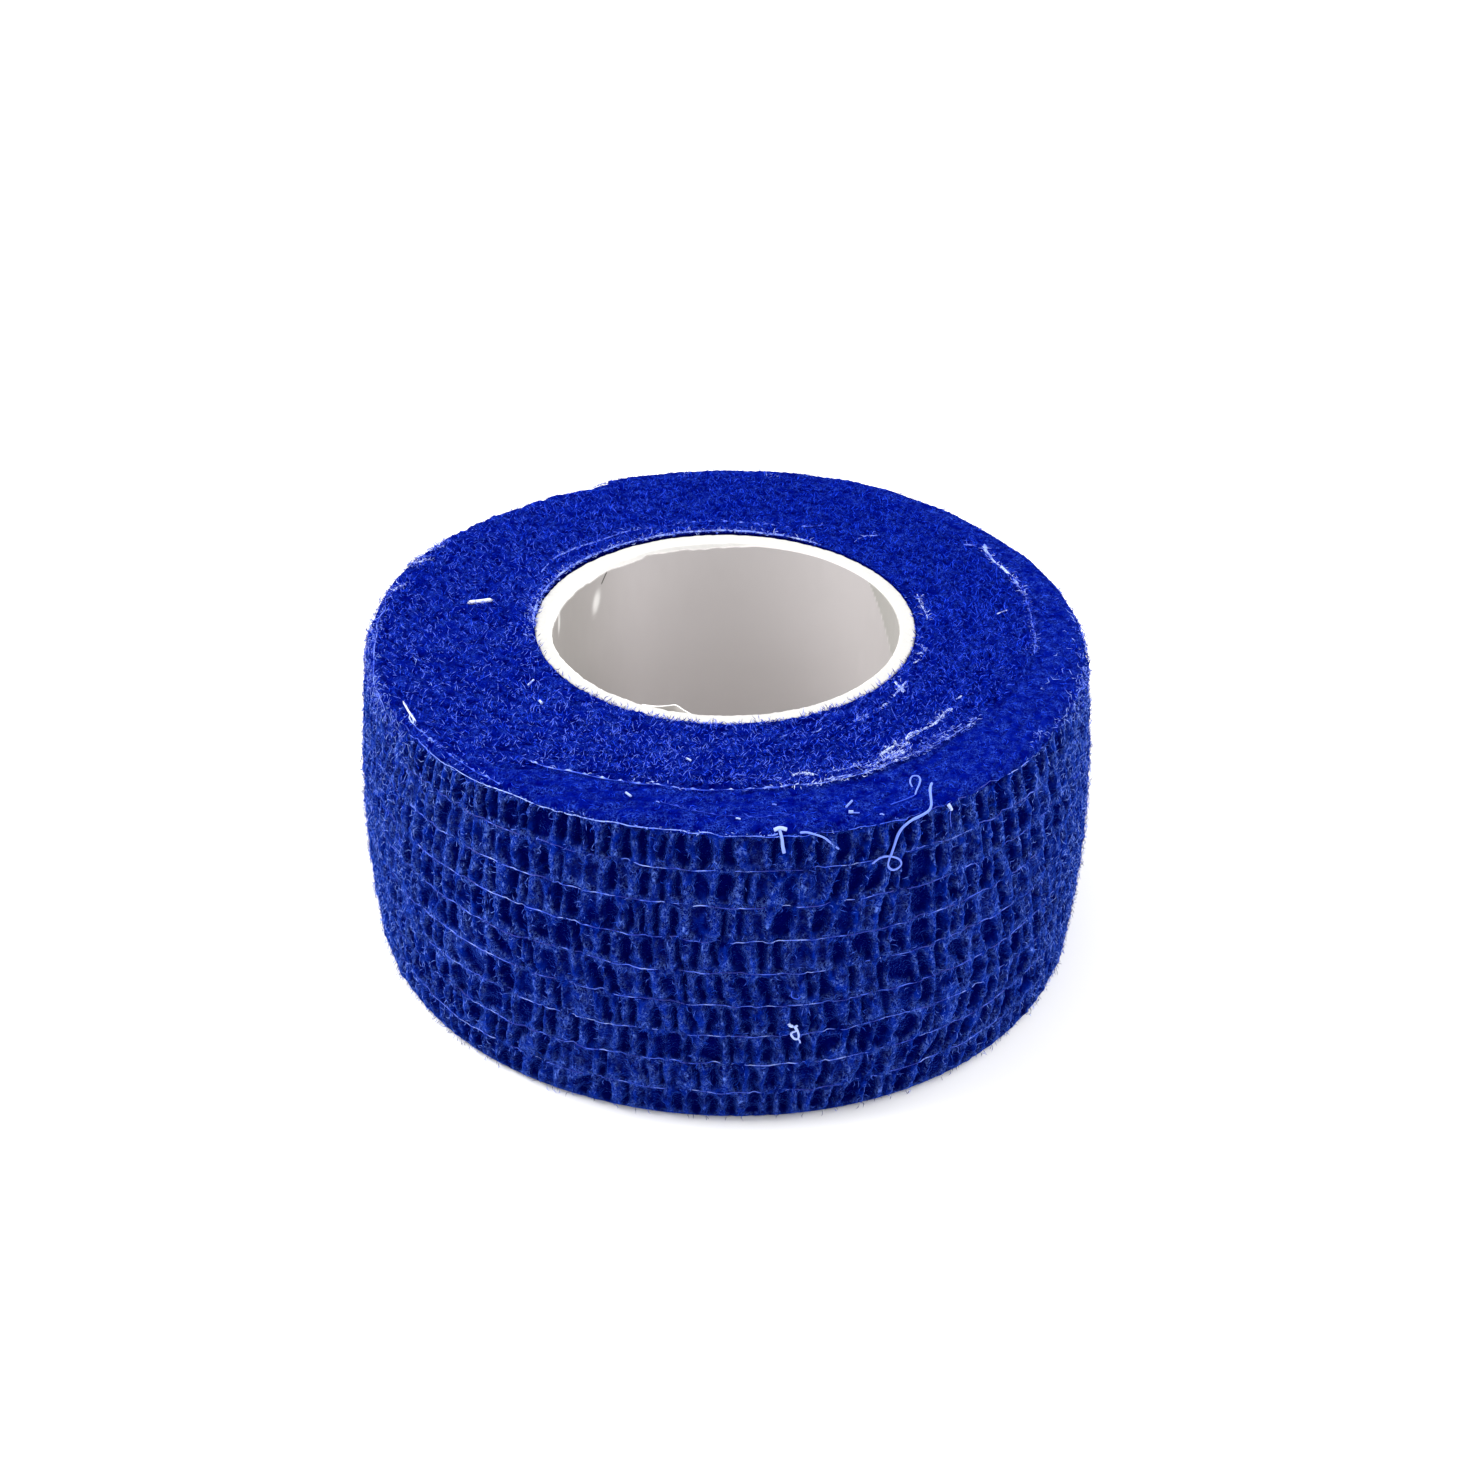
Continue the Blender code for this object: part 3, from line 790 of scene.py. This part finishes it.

# ---- Edge threads and loose bits ----------------------------------------------------------
# The last lengthwise thread of some turns shows on the top face as a pale dashed line, and
# on the right it has come out in a frayed bundle. Short curly ends, lint and specks of
# paper lie on the cloth. Each route is given as (degrees, mm down from the rim).

DASH = 1.28 * mm  # a dashed thread comes up once in each gather of the crepe
DASH_RISE = 0.04 * mm
EDGE_LIFT = 0.17 * mm
EDGE_POINTS, LOOSE_POINTS, LINT_POINTS = 91, 49, 9
EDGE_THREADS = (
    # thickness mm, how dashed from 0 to 1, fibres for each mm, paleness, route
    (0.11, 1, 5, 0.7, ((-127.5, -2.5), (-125, -2.6), (-121.5, -2.7), (-117.6, -3), (-112.1, -3.1),
        (-108.4, -3.3), (-104.9, -3.3), (-101.8, -3.5), (-97.5, -3.4), (-94.3, -3.4), (-90.2, -3.6),
        (-87.4, -3.6), (-84.9, -3.8), (-81.9, -3.9), (-80.3, -3.9), (-77.7, -4))),
    (0.13, 0.8, 24, 0.85, ((-80.3, -3.9), (-77.7, -4), (-75.3, -4), (-73.4, -3.9), (-71.3, -4),
        (-68.6, -4.1), (-66.2, -4.1), (-64.3, -4.1), (-62.5, -4.2), (-60.3, -4.2), (-57.9, -4.4),
        (-55.2, -4.3))),
    (0.07, 0, 10, 0.6, ((-72, -4.2), (-66.2, -4.3), (-60.3, -4.35), (-55.2, -4.5), (-49.8, -4.5),
        (-45.2, -4.4))),
    (0.11, 0.4, 30, 0.65, ((-55.2, -4.3), (-52.3, -4.3), (-49.8, -4.3), (-47.8, -4.2), (-45.2, -4.3),
        (-43.5, -4.2), (-41.1, -4.2), (-38.4, -4.2), (-35.3, -4.2))),
    (0.09, 0, 14, 0.5, ((-49.5, -4.9), (-46.5, -4.8), (-44, -4.9), (-41.5, -4.6), (-39, -4.7))),
    (0.09, 0.5, 14, 0.7, ((-75.7, -5.3), (-73.2, -5), (-70.2, -5), (-67.5, -5), (-64.9, -5), (-62.7, -5),
        (-60.4, -5.1), (-58.9, -5.4))),
    (0.21, 0, 16, 1, ((-58.9, -5.4), (-57.1, -5.6), (-55.4, -5.7), (-53, -5.8), (-51.5, -5.8), (-49.3, -6.2),
        (-47, -6.1), (-44.7, -6.1), (-42.3, -6), (-40.3, -6.1), (-37.7, -6.3), (-35.7, -6.1))),
    (0.24, 0, 24, 1, ((-50.3, -6), (-49.1, -6.1), (-48.2, -6.2))),
    (0.2, 0, 24, 0.9, ((-41.8, -6), (-40.2, -6.2), (-38.8, -6.1))),
    (0.15, 0.5, 24, 0.9, ((-63.9, -4.6), (-61.9, -4.6), (-59.9, -4.8), (-58.1, -4.9), (-56.6, -4.8),
        (-54, -4.9), (-51.7, -5.1))),
    (0.24, 0, 26, 1, ((-59.4, -4.8), (-57.6, -5), (-55.9, -5.1), (-53.9, -5.1))),
    (0.2, 0, 26, 0.9, ((-57.8, -4.7), (-55.4, -4.8), (-53.3, -4.9))),
    (0.17, 0, 20, 0.95, ((-55.3, -5.1), (-53.6, -5.4), (-52.4, -5.8))),
    (0.11, 0, 16, 0.9, ((-54.5, -5.7), (-52.6, -5.9), (-51.6, -5.7), (-53, -5.4))),
    (0.19, 0, 14, 0.8, ((-77.4, -5), (-75.7, -5.3), (-74.4, -5.2), (-73.3, -4.9))),
    (0.13, 0, 8, 0.9, ((-32.2, -6.6), (-31.4, -6.5), (-30.5, -6.4))),
    (0.09, 0, 8, 0.6, ((-56, -9.7), (-54.6, -9.8), (-53.3, -9.8))),
    (0.1, 0, 6, 0.5, ((-80.9, -5), (-79.5, -4.8))),
    (0.09, 0, 4, 0.4, ((-88, -5.4), (-86.1, -5.3))),
    (0.07, 1, 3, 0.35, ((-92, -5.1), (-86, -5), (-81, -4.7), (-77, -4.6), (-73, -4.7))),
    (0.25, 0, 22, 0.75, ((33.5, -1.5), (30.8, -2), (28.1, -2.3), (25.4, -2.3), (22.5, -2.3), (19.4, -2.4),
        (17.5, -2.4))),
    (0.16, 0.3, 26, 0.65, ((20.5, -2.35), (18, -2.4), (15.3, -2.4), (12.9, -2.5))),
    (0.1, 0.6, 22, 0.5, ((13.9, -2.5), (9.4, -2.7), (4.7, -2.8), (1.3, -2.9), (-3.2, -2.9), (-7.2, -3),
        (-9.1, -2.9))),
    (0.14, 0, 24, 0.4, ((35.7, -2.8), (34.8, -2.4), (33.9, -2.2))),
    (0.11, 0, 4, 0.85, ((5.9, -5.4), (6.8, -4.9), (7.4, -4.5))),
    (0.12, 0, 6, 0.5, ((152.2, -9.8), (147.3, -9.5), (142.9, -9.2), (139, -9.3), (134.8, -9.3),
        (130.8, -9.5), (126.8, -9.5), (122.6, -9.5), (118.3, -9.4), (114.8, -9.5), (110.8, -9.8))),
    (0.1, 1, 4, 0.45, ((108, -9.8), (104.3, -9.6), (100.3, -9.6), (96.6, -9.6), (88, -9.7), (80.7, -9.8),
        (71.6, -9.7), (64.2, -8.4))),
    (0.08, 0, 2, 0.6, ((113.3, -10.8), (112, -10.1), (111.5, -9.6))),
    (0.16, 0, 26, 0.65, ((60, -11.52), (80, -11.42), (97, -11.38), (110, -11.34), (128, -11.3),
        (145, -11.26), (157, -11.32), (165, -11.36), (175, -11.5), (185, -11.58))),
    (0.22, 0, 30, 1, ((159.4, 0.2), (158.5, -0.1), (157.8, -0.3), (156.6, -0.6))),
    (0.12, 0, 24, 0.7, ((152.9, 0.1), (152.3, -0.2), (151.1, -0.4))),
    (0.14, 0, 14, 0.8, ((166.6, -0.6), (168, -0.2), (169.3, 0))),
    (0.09, 0, 10, 0.45, ((167, -0.5), (169, 0), (171.3, 0.2), (175.8, 0), (178.8, 0.2), (183.2, 0.2),
        (187.9, 0.3), (191, 0.5), (194, 0.7), (197.2, 1), (200.7, 1), (204.2, 1.2))),
    (0.08, 1, 6, 0.5, ((-148, 0.3), (-146.3, 0.3), (-143.5, 0.3), (-140.1, 0.3), (-136.6, 0.4),
        (-133.5, 0.5), (-130, 0.6), (-127.5, 0.6), (-125.5, 0.7))),
    (0.07, 1, 2, 0.2, ((-100.4, -1.6), (-93.8, -0.8), (-87.7, -0.4), (-80.1, -0.6))),
    (0.1, 1, 8, 0.6, ((-56.6, -9.6), (-54.3, -9.7), (-52.1, -9.7), (-49.7, -9.9))),
    (0.1, 0, 8, 0.7, ((-47.1, -9.8), (-44.6, -10))),
    (0.26, 0, 10, 1, ((-34.5, -11.1), (-35.6, -10.7), (-36.5, -10.4))),
    (0.22, 0, 10, 1, ((-32.1, -10.6), (-34.5, -10.5), (-36.5, -10.4))),
    (0.15, 0, 14, 0.9, ((-36.5, -10.4), (-38.6, -10.3), (-40.7, -10.2))),
    (0.24, 0, 14, 1, ((-37.1, -10.5), (-36.9, -10.3), (-36.9, -10))),
    (0.12, 0, 10, 0.85, ((-22.5, -11.1), (-20.3, -10.9))),
    (0.11, 0, 14, 0.8, ((-17.5, -11.2), (-16.4, -11), (-16.8, -10.8))),
    (0.09, 0, 4, 0.5, ((-76.6, -9.6), (-74.5, -9.8))),
    (0.09, 0, 4, 0.5, ((-68.4, -9.7), (-66.8, -9.7), (-65.5, -9.9))),
    (0.12, 0, 14, 0.75, ((17.7, -10.7), (11.8, -10.9), (5.9, -10.8), (2.5, -10.9))),
    (0.1, 0, 18, 0.7, ((-11.7, -11.2), (-14.6, -10.9), (-13.1, -10.7))),
    (0.09, 0, 6, 0.6, ((52.3, -9.5), (52.5, -8.5), (51.7, -7.8), (50.1, -7.3))),
)
LOOSE_THREADS = (
    # thickness mm, height off the cloth mm, paleness, route
    (0.12, 0.15, 0.5, ((-59.1, -1.3), (-58.7, -1.8), (-57.9, -2.2), (-57.2, -2.3), (-56.6, -2.1),
        (-56.9, -1.7), (-57.8, -1.3), (-58.9, -0.9), (-59.8, -0.5))),
    (0.06, 0.1, 0.25, ((-59.8, -0.5), (-60.9, -0.4), (-62.1, -0.3), (-64.5, -0.2))),
    (0.2, 0.3, 0.52, ((-56, -0.9), (-57, -0.5), (-57.9, 0), (-58.6, 0.4), (-59, 0.7), (-59.5, 0.9),
        (-60.2, 1), (-61.4, 1.1), (-62.5, 1.2), (-63.8, 1.5), (-64.7, 2), (-65.4, 2.7), (-66.2, 3.5))),
    (0.15, 0.3, 0.52, ((-66.1, 3.4), (-66.5, 4), (-66, 4.4), (-65.1, 4.4), (-64.5, 4.1), (-64.9, 3.7),
        (-66.2, 3.4), (-67.5, 3.4), (-68.8, 3.8))),
    (0.26, 0.2, 0.75, ((-83, 0.7), (-82.1, 0.6), (-81.1, 0.7))),
    (0.22, 0.18, 0.65, ((-82.2, 0.6), (-81.9, 1.2), (-81.8, 1.7), (-81.6, 2.2))),
    (0.1, 0.1, 0.5, ((-83.9, 1), (-83.2, 1), (-82.4, 0.9))),
    (0.14, 0.15, 0.55, ((-79.3, 0.9), (-78.4, 0.9), (-77.5, 1), (-75.8, 1.3), (-74.7, 1.8), (-73.6, 2.3))),
    (0.16, 0.1, 0.55, ((-71.1, -0.9), (-70.3, -1.2), (-69.5, -1.5))),
    (0.24, 0.12, 0.65, ((-71.2, -0.3), (-70.9, -0.25), (-70.5, -0.2))),
    (0.09, 0.1, 0.45, ((-70.7, -0.2), (-70.3, -0.1), (-69.7, 0))),
    (0.15, 0.15, 0.95, ((-98.9, -7.1), (-98, -7), (-97.1, -6.8))),
    (0.16, 0.12, 0.75, ((-106.5, -2.1), (-105.9, -1.9), (-105.3, -1.7))),
    (0.14, 0.15, 0.95, ((-147.3, -9), (-147.7, -9.3), (-148.4, -9.7))),
    (0.2, 0.15, 0.95, ((-139.7, -8.5), (-139.1, -8.5), (-138.4, -8.4))),
    (0.28, 0.15, 0.8, ((-56, 1), (-55.8, 1.2), (-55.6, 1.4))),
    (0.06, 0.1, 0.35, ((-55.6, 1.5), (-55.8, 2), (-55.7, 2.7))),
    (0.11, 0.1, 0.75, ((-88.4, -0.3), (-88.1, -0.3), (-87.7, -0.2))),
    (0.09, 0.1, 0.6, ((-66.9, 0.4), (-66.6, 0.4), (-66.3, 0.5))),
    (0.08, 0.1, 0.5, ((-101.1, -1.6), (-100.8, -1.6), (-100.5, -1.5))),
    (0.09, 0.1, 0.45, ((-82.4, -2), (-82.1, -2), (-81.7, -1.9))),
    (0.24, 0.16, 0.85, ((-80.7, 16.2), (-80.4, 16.4), (-80, 16.5))),
    (0.15, 0.18, 0.8, ((-80, 16.5), (-79.7, 16.6), (-79.5, 16.9), (-80, 17), (-80.2, 17.2), (-79.7, 17.6),
        (-79.2, 17.6), (-79.1, 17.3), (-79.3, 16.9), (-79.6, 16.5), (-79.2, 16.5))),
    (0.12, 0.15, 0.7, ((-79.7, 17.6), (-79, 17.8), (-78.8, 18.1))),
    (0.07, 0.1, 0.3, ((-79.7, 13.3), (-79.1, 13.5), (-79, 13.8), (-79.3, 14.1), (-80, 14), (-80.3, 13.8),
        (-80.2, 13.4), (-79.7, 13.3), (-79.2, 13.4))),
    (0.09, 0.15, 0.8, ((-147.4, 0.3), (-148.4, 0.3), (-149.7, 0.2), (-149.8, 0), (-148.8, 0.1),
        (-147.7, 0.3))),
)
PAPER_LINT = (
    # thickness mm, height off the cloth mm, route
    (0.34, 0.2, ((172, -6.1), (171.4, -6.5), (170.9, -7.1), (169.7, -8))),
    (0.15, 0.18, ((-154.8, -0.2), (-152.6, -0.1), (-150.8, 0), (-147.7, 0.1))),
)


def trail(rows, steps):
    """A smooth curve through rows of numbers: from b to c it is half of 2b + (c - a)t +
    (2a - 5b + 4c - d)t^2 + (3b - a - 3c + d)t^3, where a and d are the rows beside them."""
    rows = np.array(rows, dtype=float)
    rows = np.concatenate([2 * rows[:1] - rows[1:2], rows, 2 * rows[-1:] - rows[-2:-1]])
    a, b, c, d = (rows[i : len(rows) - 3 + i, None] for i in range(4))
    t = np.linspace(0, 1, steps, endpoint=False)[None, :, None]
    curve = 2 * b + (c - a) * t + (2 * a - 5 * b + 4 * c - d) * t**2
    curve = curve + (3 * b - a - 3 * c + d) * t**3
    return np.concatenate([curve.reshape(-1, rows.shape[1]) / 2, rows[-2:-1]])


def even_points(route, count):
    """Angles, distances down and lengths so far of points evenly spaced along a smooth curve
    through the route. Its length is measured on the cloth."""
    angle, down = trail(route, 12).T
    angle, down = np.radians(angle), down * mm
    stretches = np.linalg.norm(np.diff(on_cloth(angle, down, 0.0), axis=0), axis=1)
    length = np.append(0.0, np.cumsum(stretches))
    even = np.linspace(0, length[-1], count)
    return np.interp(even, length, angle), np.interp(even, length, down), even


def laid_out(table, count):
    """The table's numbers, one column each, and the even points of its routes, a row each."""
    *numbers, routes = zip(*table)
    points = np.array([even_points(route, count) for route in routes])
    return np.array(numbers)[:, :, None], *points.transpose(1, 0, 2)


# Fine rubbery thread: from the cloth's blue where fluff covers it to a pale lilac.
loose_thread = fibre_look(
    "loose elastic thread",
    ((0.0, "00188C"), (0.3, "3656DC"), (0.6, "7890EC"), (1.0, "C4D4FF")),
    roughness=0.5, gloss=0.1,
)

numbers, angle, down, length = laid_out(EDGE_THREADS, EDGE_POINTS)
thickness, dashed, fuzz, paleness = numbers
number = np.arange(len(length))[:, None]
down = down + 0.06 * mm * lumps(68, length / (0.8 * mm), number * 5.0)
knot = np.clip(np.cos(2 * pi * length / DASH), 0, 1) ** 3
lift = EDGE_LIFT + DASH_RISE * dashed * (knot - 0.5)
spines = on_cloth(angle, down - DASH_RISE * dashed * knot, lift)
away = off_cloth(angle, down)
width = 1 + 0.50 * lumps(67, length / (0.5 * mm), number * 5.0) + dashed * (1.1 * knot - 0.45)
pale = paleness * (1 - dashed * 0.6 * (1 - knot))
pale = np.clip(pale * (1 + 0.35 * lumps(69, length / (0.7 * mm), number * 5.0)), 0, 1)
edge_threads = lay("edge_threads", spines, thickness * width * mm, away, loose_thread, pale)
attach(edge_threads, "root")

count = (fuzz * length[:, -1:] / mm).astype(int).ravel()
thread = np.repeat(number.ravel(), count)
at = rng.integers(0, EDGE_POINTS, len(thread))
scatter = rng.normal(size=(len(thread), 3)) * 0.11 * mm
away = away[thread, at]
fluff_on(
    "edge_tufts", rng, spines[thread, at] + scatter * (1 - 0.6 * away), away, loose_thread,
    length=0.40, stand=0.5, bend=1.1, thickness=0.055, palest=1.25 * paleness[thread, 0],
)

(thickness, lift, paleness), angle, down, length = laid_out(LOOSE_THREADS, LOOSE_POINTS)
spines = on_cloth(angle, down, lift * mm * (1 + 0.4 * np.sin(length / mm)))
width = thickness * mm * (1 + 0.12 * lumps(76, length / (0.5 * mm), paleness * 50))
loose_ends = lay(
    "loose_ends", spines, width, off_cloth(angle, down), loose_thread, paleness + 0 * length, 6
)
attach(loose_ends, "root")

# A stiff white sliver of paper, and a short one at the rim.
sliver = new_material("white paper lint", Base_Color=linear("CED6EE"), Roughness=0.7)[0]
(thickness, lift), angle, down, length = laid_out(PAPER_LINT, LINT_POINTS)
spines, away = on_cloth(angle, down, lift * mm), off_cloth(angle, down)
points, faces = strands(spines, thickness * mm, away[:, 1:-1], sides=6)
paper_lint = put("paper_lint", points, faces, sliver)
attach(paper_lint, "root")

# ---- The paper core ----------------------------------------------------------------------
# A short tube of white board, wound from strips of paper in a spiral and cut to length. Its
# rim is matt and a little furry, and worn round on its inner edge at the back left.

CORE_OUTER, CORE_TOP = core_high.x, core_high.z
CORE_WALL = 1.19 * mm
LINER = 0.06 * mm  # thickness of the innermost strip
CORE_COLUMNS = 480
FOOT_ROUND, RIM_ROUND = 0.12 * mm, 0.16 * mm
WORN_ROUND = 0.30 * mm  # how much rounder the rim is where it is most worn
OVAL = 0.14 * mm  # how far the tube's left side is pushed out
PULP = ((71, 0.030, 1 / 290, 0.3), (72, 0.025, 1 / 100, 0.7))  # widths in turns and in mm
PULP_GRAIN = 0.22 * mm  # coarser than real pulp, so that it shows
WORN_EDGE = (
    # degrees, mm: how far below the rim the liner starts
    (-170, 0.8), (-150, 0.25), (-60, 0.15), (0, 0.15), (57, 0.15), (80, 0.3), (96, 0.58), (119, 0.45),
    (124, 0.72), (134, 0.62), (139, 0.62), (144, 0.8), (152, 0.76), (161, 0.77), (171, 0.95), (179, 0.84),
)

board_inner = CORE_OUTER - CORE_WALL + LINER
wall_top = CORE_TOP - 1.2 * mm
share = (np.arange(CORE_COLUMNS) / CORE_COLUMNS)[None, :]
angle = 2 * pi * share
worn = by_angle(WORN_EDGE, angle) * mm
worn_round = RIM_ROUND + WORN_ROUND * ease(0.2 * mm, 0.8 * mm, worn)
outer_turn = np.linspace(0, pi / 2, 5, endpoint=False)
inner_turn = np.linspace(pi / 2, pi, 8)[:, None]
radius, height, outward, upward = section(
    CORE_COLUMNS,
    (np.linspace(board_inner + FOOT_ROUND, CORE_OUTER - FOOT_ROUND, 4), 0.0, 0.0, 0.0),
    (CORE_OUTER, np.array([FOOT_ROUND, CORE_TOP / 2, wall_top]), 0.0, 0.0),
    arc(CORE_OUTER - RIM_ROUND, CORE_TOP - RIM_ROUND, RIM_ROUND, outer_turn),
    (np.linspace(CORE_OUTER - RIM_ROUND, board_inner + 0.5 * mm, 5), CORE_TOP, 0.0, 1.0),
    arc(board_inner + worn_round, CORE_TOP - worn_round, worn_round, inner_turn),
    (board_inner, np.linspace(wall_top, FOOT_ROUND, 5), 0.0, 0.0),
)
swollen = OVAL * np.exp(-(((angle - pi + 0.09) / 0.6) ** 2))
swollen = swollen * (radius > CORE_OUTER - 0.3 * mm) * (height > 0.9 * CORE_TOP)
paper = layered(PULP, share, (CORE_TOP - height + radius) / mm) * mm
radius, height = radius + outward * paper + swollen, height + upward * paper
in_bore = (height < CORE_TOP - worn_round) * (radius < board_inner + 0.1 * mm)
# The share of painted light: whiter colour on the inner rounding and the inner wall.
torn = ease(0.1, 0.5, -outward) * (upward < 0.999) + in_bore

# Soft white board: furry, so it has no gloss at all. Its worn, rounded inner edge and its inner wall are
# painted whiter: painted light where they face away from the lamps.
board, tree, shader = new_material("white paper board", Roughness=0.9, Specular_IOR_Level=0.2)
place = add(tree, "TexCoord", output="Object")
pulp = add(tree, "TexNoise", Vector=place, Scale=1 / PULP_GRAIN, Detail=4.0, Roughness=0.6)
seen = add(tree, "Mix", pulp, linear("A8A7A5"), linear("BAB9B6"), data_type="RGBA")
on_torn = add(tree, "Attribute", attribute_name="torn", output="Fac")
seen = add(tree, "Mix", on_torn, seen, linear("FAF9F6"), data_type="RGBA")
tree.links.new(seen, shader.inputs["Base Color"])
bump = add(tree, "Bump", Strength=0.5, Distance=0.04 * mm, Height=pulp)
tree.links.new(bump, shader.inputs["Normal"])
board_points = around(radius, angle, height)
core_board = put("core_board", board_points, ring_faces(*radius.shape), board, torn=torn)
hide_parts("paper_core")
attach(core_board, "root")

# ---- The core's liner --------------------------------------------------------------------
# The innermost strip of the core is smooth coated paper, glued on. Its top edge is uneven,
# and one long edge shows as a fine slanting line. At the front a bit of ply has come loose.

SEAM_TOP = radians(33.2)  # where the strip's edge meets the rim
SEAM_SLANT = radians(4.9) / mm  # how much it turns for each mm down
SEAM_WIDTH = 0.16 * mm
LAP = 0.03 * mm  # how far the overlap beside it stands out
LINER_ROWS = 44
RIPPLES = ((74, 0.020, 1 / 34, 5.0), (75, 0.012, 1 / 120, 1.3))  # widths in turns and in mm
PAINTED_HIGHLIGHTS = (
    # degrees, mm below the rim, half width and half height in mm: painted highlights where the liner shines
    (141.2, 2.9, 0.42, 0.95), (167.9, 1.7, 0.30, 0.85),
)
HIGHLIGHT_SLANT = 0.5
# attribute and colour: painted light on the far side, painted shade on the left, the overlap, the strip's
# edge, and painted highlights
LINER_MARKS = (
    ("faded", "CAC5C5"), ("dulled", "A29E9B"), ("lap", "A9A7A2"), ("seam", "CCCAC6"),
    ("gloss", "EEECE9"),
)
CLOUDS = 5.0 * mm
TEAR = ((135.8, 0.70), (138.6, 1.58))  # its ends: degrees, mm below the rim
PLY = (
    # degrees, mm inwards from the core's wall, mm above the rim
    (-117, -0.02, -0.06), (-114, 0.02, 0), (-111.5, 0.14, 0.04), (-109.1, 0.4, 0.06), (-107.2, 0.62, 0.08),
    (-106, 0.6, 0.07), (-103.4, 0.24, 0.02), (-101, -0.01, -0.06),
)
PLY_DROP = 1.2 * mm  # how far down the liner the ply is loose
PLY_THICKNESS = 0.09 * mm

liner_inner = CORE_OUTER - CORE_WALL
uneven = 0.07 * mm * (1 + lumps(73, share * 170, 0 * share)) * (worn > 0.3 * mm)
top_edge = CORE_TOP - worn - uneven
run = 1 - np.linspace(0, 1, LINER_ROWS)[:, None] ** 1.5  # rows lie closer near the top
height = FOOT_ROUND + (top_edge - FOOT_ROUND) * run
past_seam = (angle - SEAM_TOP + SEAM_SLANT * (CORE_TOP - height) + pi) % (2 * pi) - pi
over_lap = ease(0, 0.4, -past_seam * liner_inner / SEAM_WIDTH) * ease(-1.6, -1.5, past_seam)
on_seam = np.exp(-((past_seam * liner_inner / (SEAM_WIDTH / 2)) ** 2))
# Pale oval patches: painted highlights on the liner.
gloss = 0 * height
for degrees, below, half_wide, half_tall in PAINTED_HIGHLIGHTS:
    beyond = ((CORE_TOP - height) / mm - below) / half_tall
    beside = (angle - radians(degrees)) * liner_inner / mm / half_wide - HIGHLIGHT_SLANT * beyond
    gloss = gloss + np.exp(-((beside**2 + beyond**2) ** 2))
radius = liner_inner - LAP * over_lap + layered(RIPPLES, share, height / mm) * mm
back_radius = liner_inner + LINER + 0.05 * mm + 0 * share
radius = np.concatenate([radius, back_radius, back_radius])
height = np.concatenate([height, FOOT_ROUND + 0 * share, top_edge - 0.05 * mm])
seam, lap, gloss = (np.pad(mark, ((0, 2), (0, 0))) for mark in (on_seam, over_lap, gloss))

# Smooth coated paper: a soft gloss, grey because it lies in the core's own shade. Painted
# light whitens it on the far side, painted shade darkens it on the left, two painted
# highlights lie on the left, and its overlap and its edge show.
liner, tree, shader = new_material("coated paper liner", Roughness=0.35)
place = add(tree, "TexCoord", output="Object")
clouds = add(tree, "TexNoise", Vector=place, Scale=1 / CLOUDS, Detail=2.0)
seen = add(tree, "Mix", clouds, linear("B4AFAE"), linear("BBB6B5"), data_type="RGBA")
for mark, colour in LINER_MARKS:
    marked = add(tree, "Attribute", attribute_name=mark, output="Fac")
    seen = add(tree, "Mix", marked, seen, linear(colour), data_type="RGBA")
# A thin slit in the liner, painted dark grey: painted shade inside the slit.
tear_angle, tear_below = np.array(TEAR).T
tear = around(liner_inner, np.radians(tear_angle), CORE_TOP - tear_below * mm)
tear_run = Vector((tear[1] - tear[0]).tolist())
outwards = Vector(around(1.0, radians(tear_angle.mean()), 0.0).tolist())
tear_side = tear_run.cross(outwards).normalized()
from_tear = add(tree, "VectorMath", place, tear.mean(0).tolist(), operation="SUBTRACT")
slit_shade = 1.0
for way, beyond, within in (tear_side, 0.10, 0.03), (tear_run.normalized(), 0.62, 0.40):
    off = add(tree, "VectorMath", from_tear, way, operation="DOT_PRODUCT")
    off = add(tree, "Math", off, operation="ABSOLUTE")
    near = add(tree, "MapRange", off, beyond * mm, within * mm, interpolation_type="SMOOTHSTEP")
    slit_shade = add(tree, "Math", slit_shade, near, operation="MULTIPLY")
seen = add(tree, "Mix", slit_shade, seen, linear("4A4643"), data_type="RGBA")
tree.links.new(seen, shader.inputs["Base Color"])
# The far side is painted lighter, as painted light, and the left darker, as painted shade.
core_liner = put(
    "core_liner", around(radius, angle, height), ring_faces(*radius.shape), liner,
    seam=seam, lap=lap, gloss=gloss, faded=ease(0.0, 1.0, np.sin(angle)) + 0 * height,
    dulled=ease(0.5, 1.0, -np.cos(angle)) + 0 * height,
)
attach(core_liner, "root")

# The loose ply: its glued side painted grey, as painted shade between it and the wall, and its white cut
# edge.
shaded_ply_paper, tree, shader = new_material("grey ply of paper", Roughness=0.8)
edge = add(tree, "Attribute", attribute_name="edge", output="Fac")
edge = add(tree, "Mix", edge, linear("A09C98"), linear("F0EFEC"), data_type="RGBA")
tree.links.new(edge, shader.inputs["Base Color"])
degrees, inwards, above = trail(PLY, 8).T[:, None]
drop = np.array([0.0, 0.05, 0.4, 0.8, 1.2, 1.2, 0.8, 0.4, 0.05, 0.0])[:, None] * mm
thick = np.repeat([0.0, PLY_THICKNESS], 5)[:, None]
radius = liner_inner - 0.01 * mm - inwards * mm * (1 - (drop / PLY_DROP) ** 1.5) + thick
ply_points = around(radius, np.radians(degrees), CORE_TOP + above * mm - drop)
rows, columns = radius.shape
walls = np.reshape(ring_faces(rows, columns), (rows, columns, 4))[:, :-1].reshape(-1, 4)
here = np.arange(rows * columns).reshape(rows, columns)
faces = walls.tolist() + [here[::-1, 0].tolist(), here[:, -1].tolist()]
at_edge = 1.0 * (drop == 0) + 0 * radius
lifted_ply = put("lifted_ply", ply_points, faces, shaded_ply_paper, smooth=False, edge=at_edge)
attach(lifted_ply, "root")
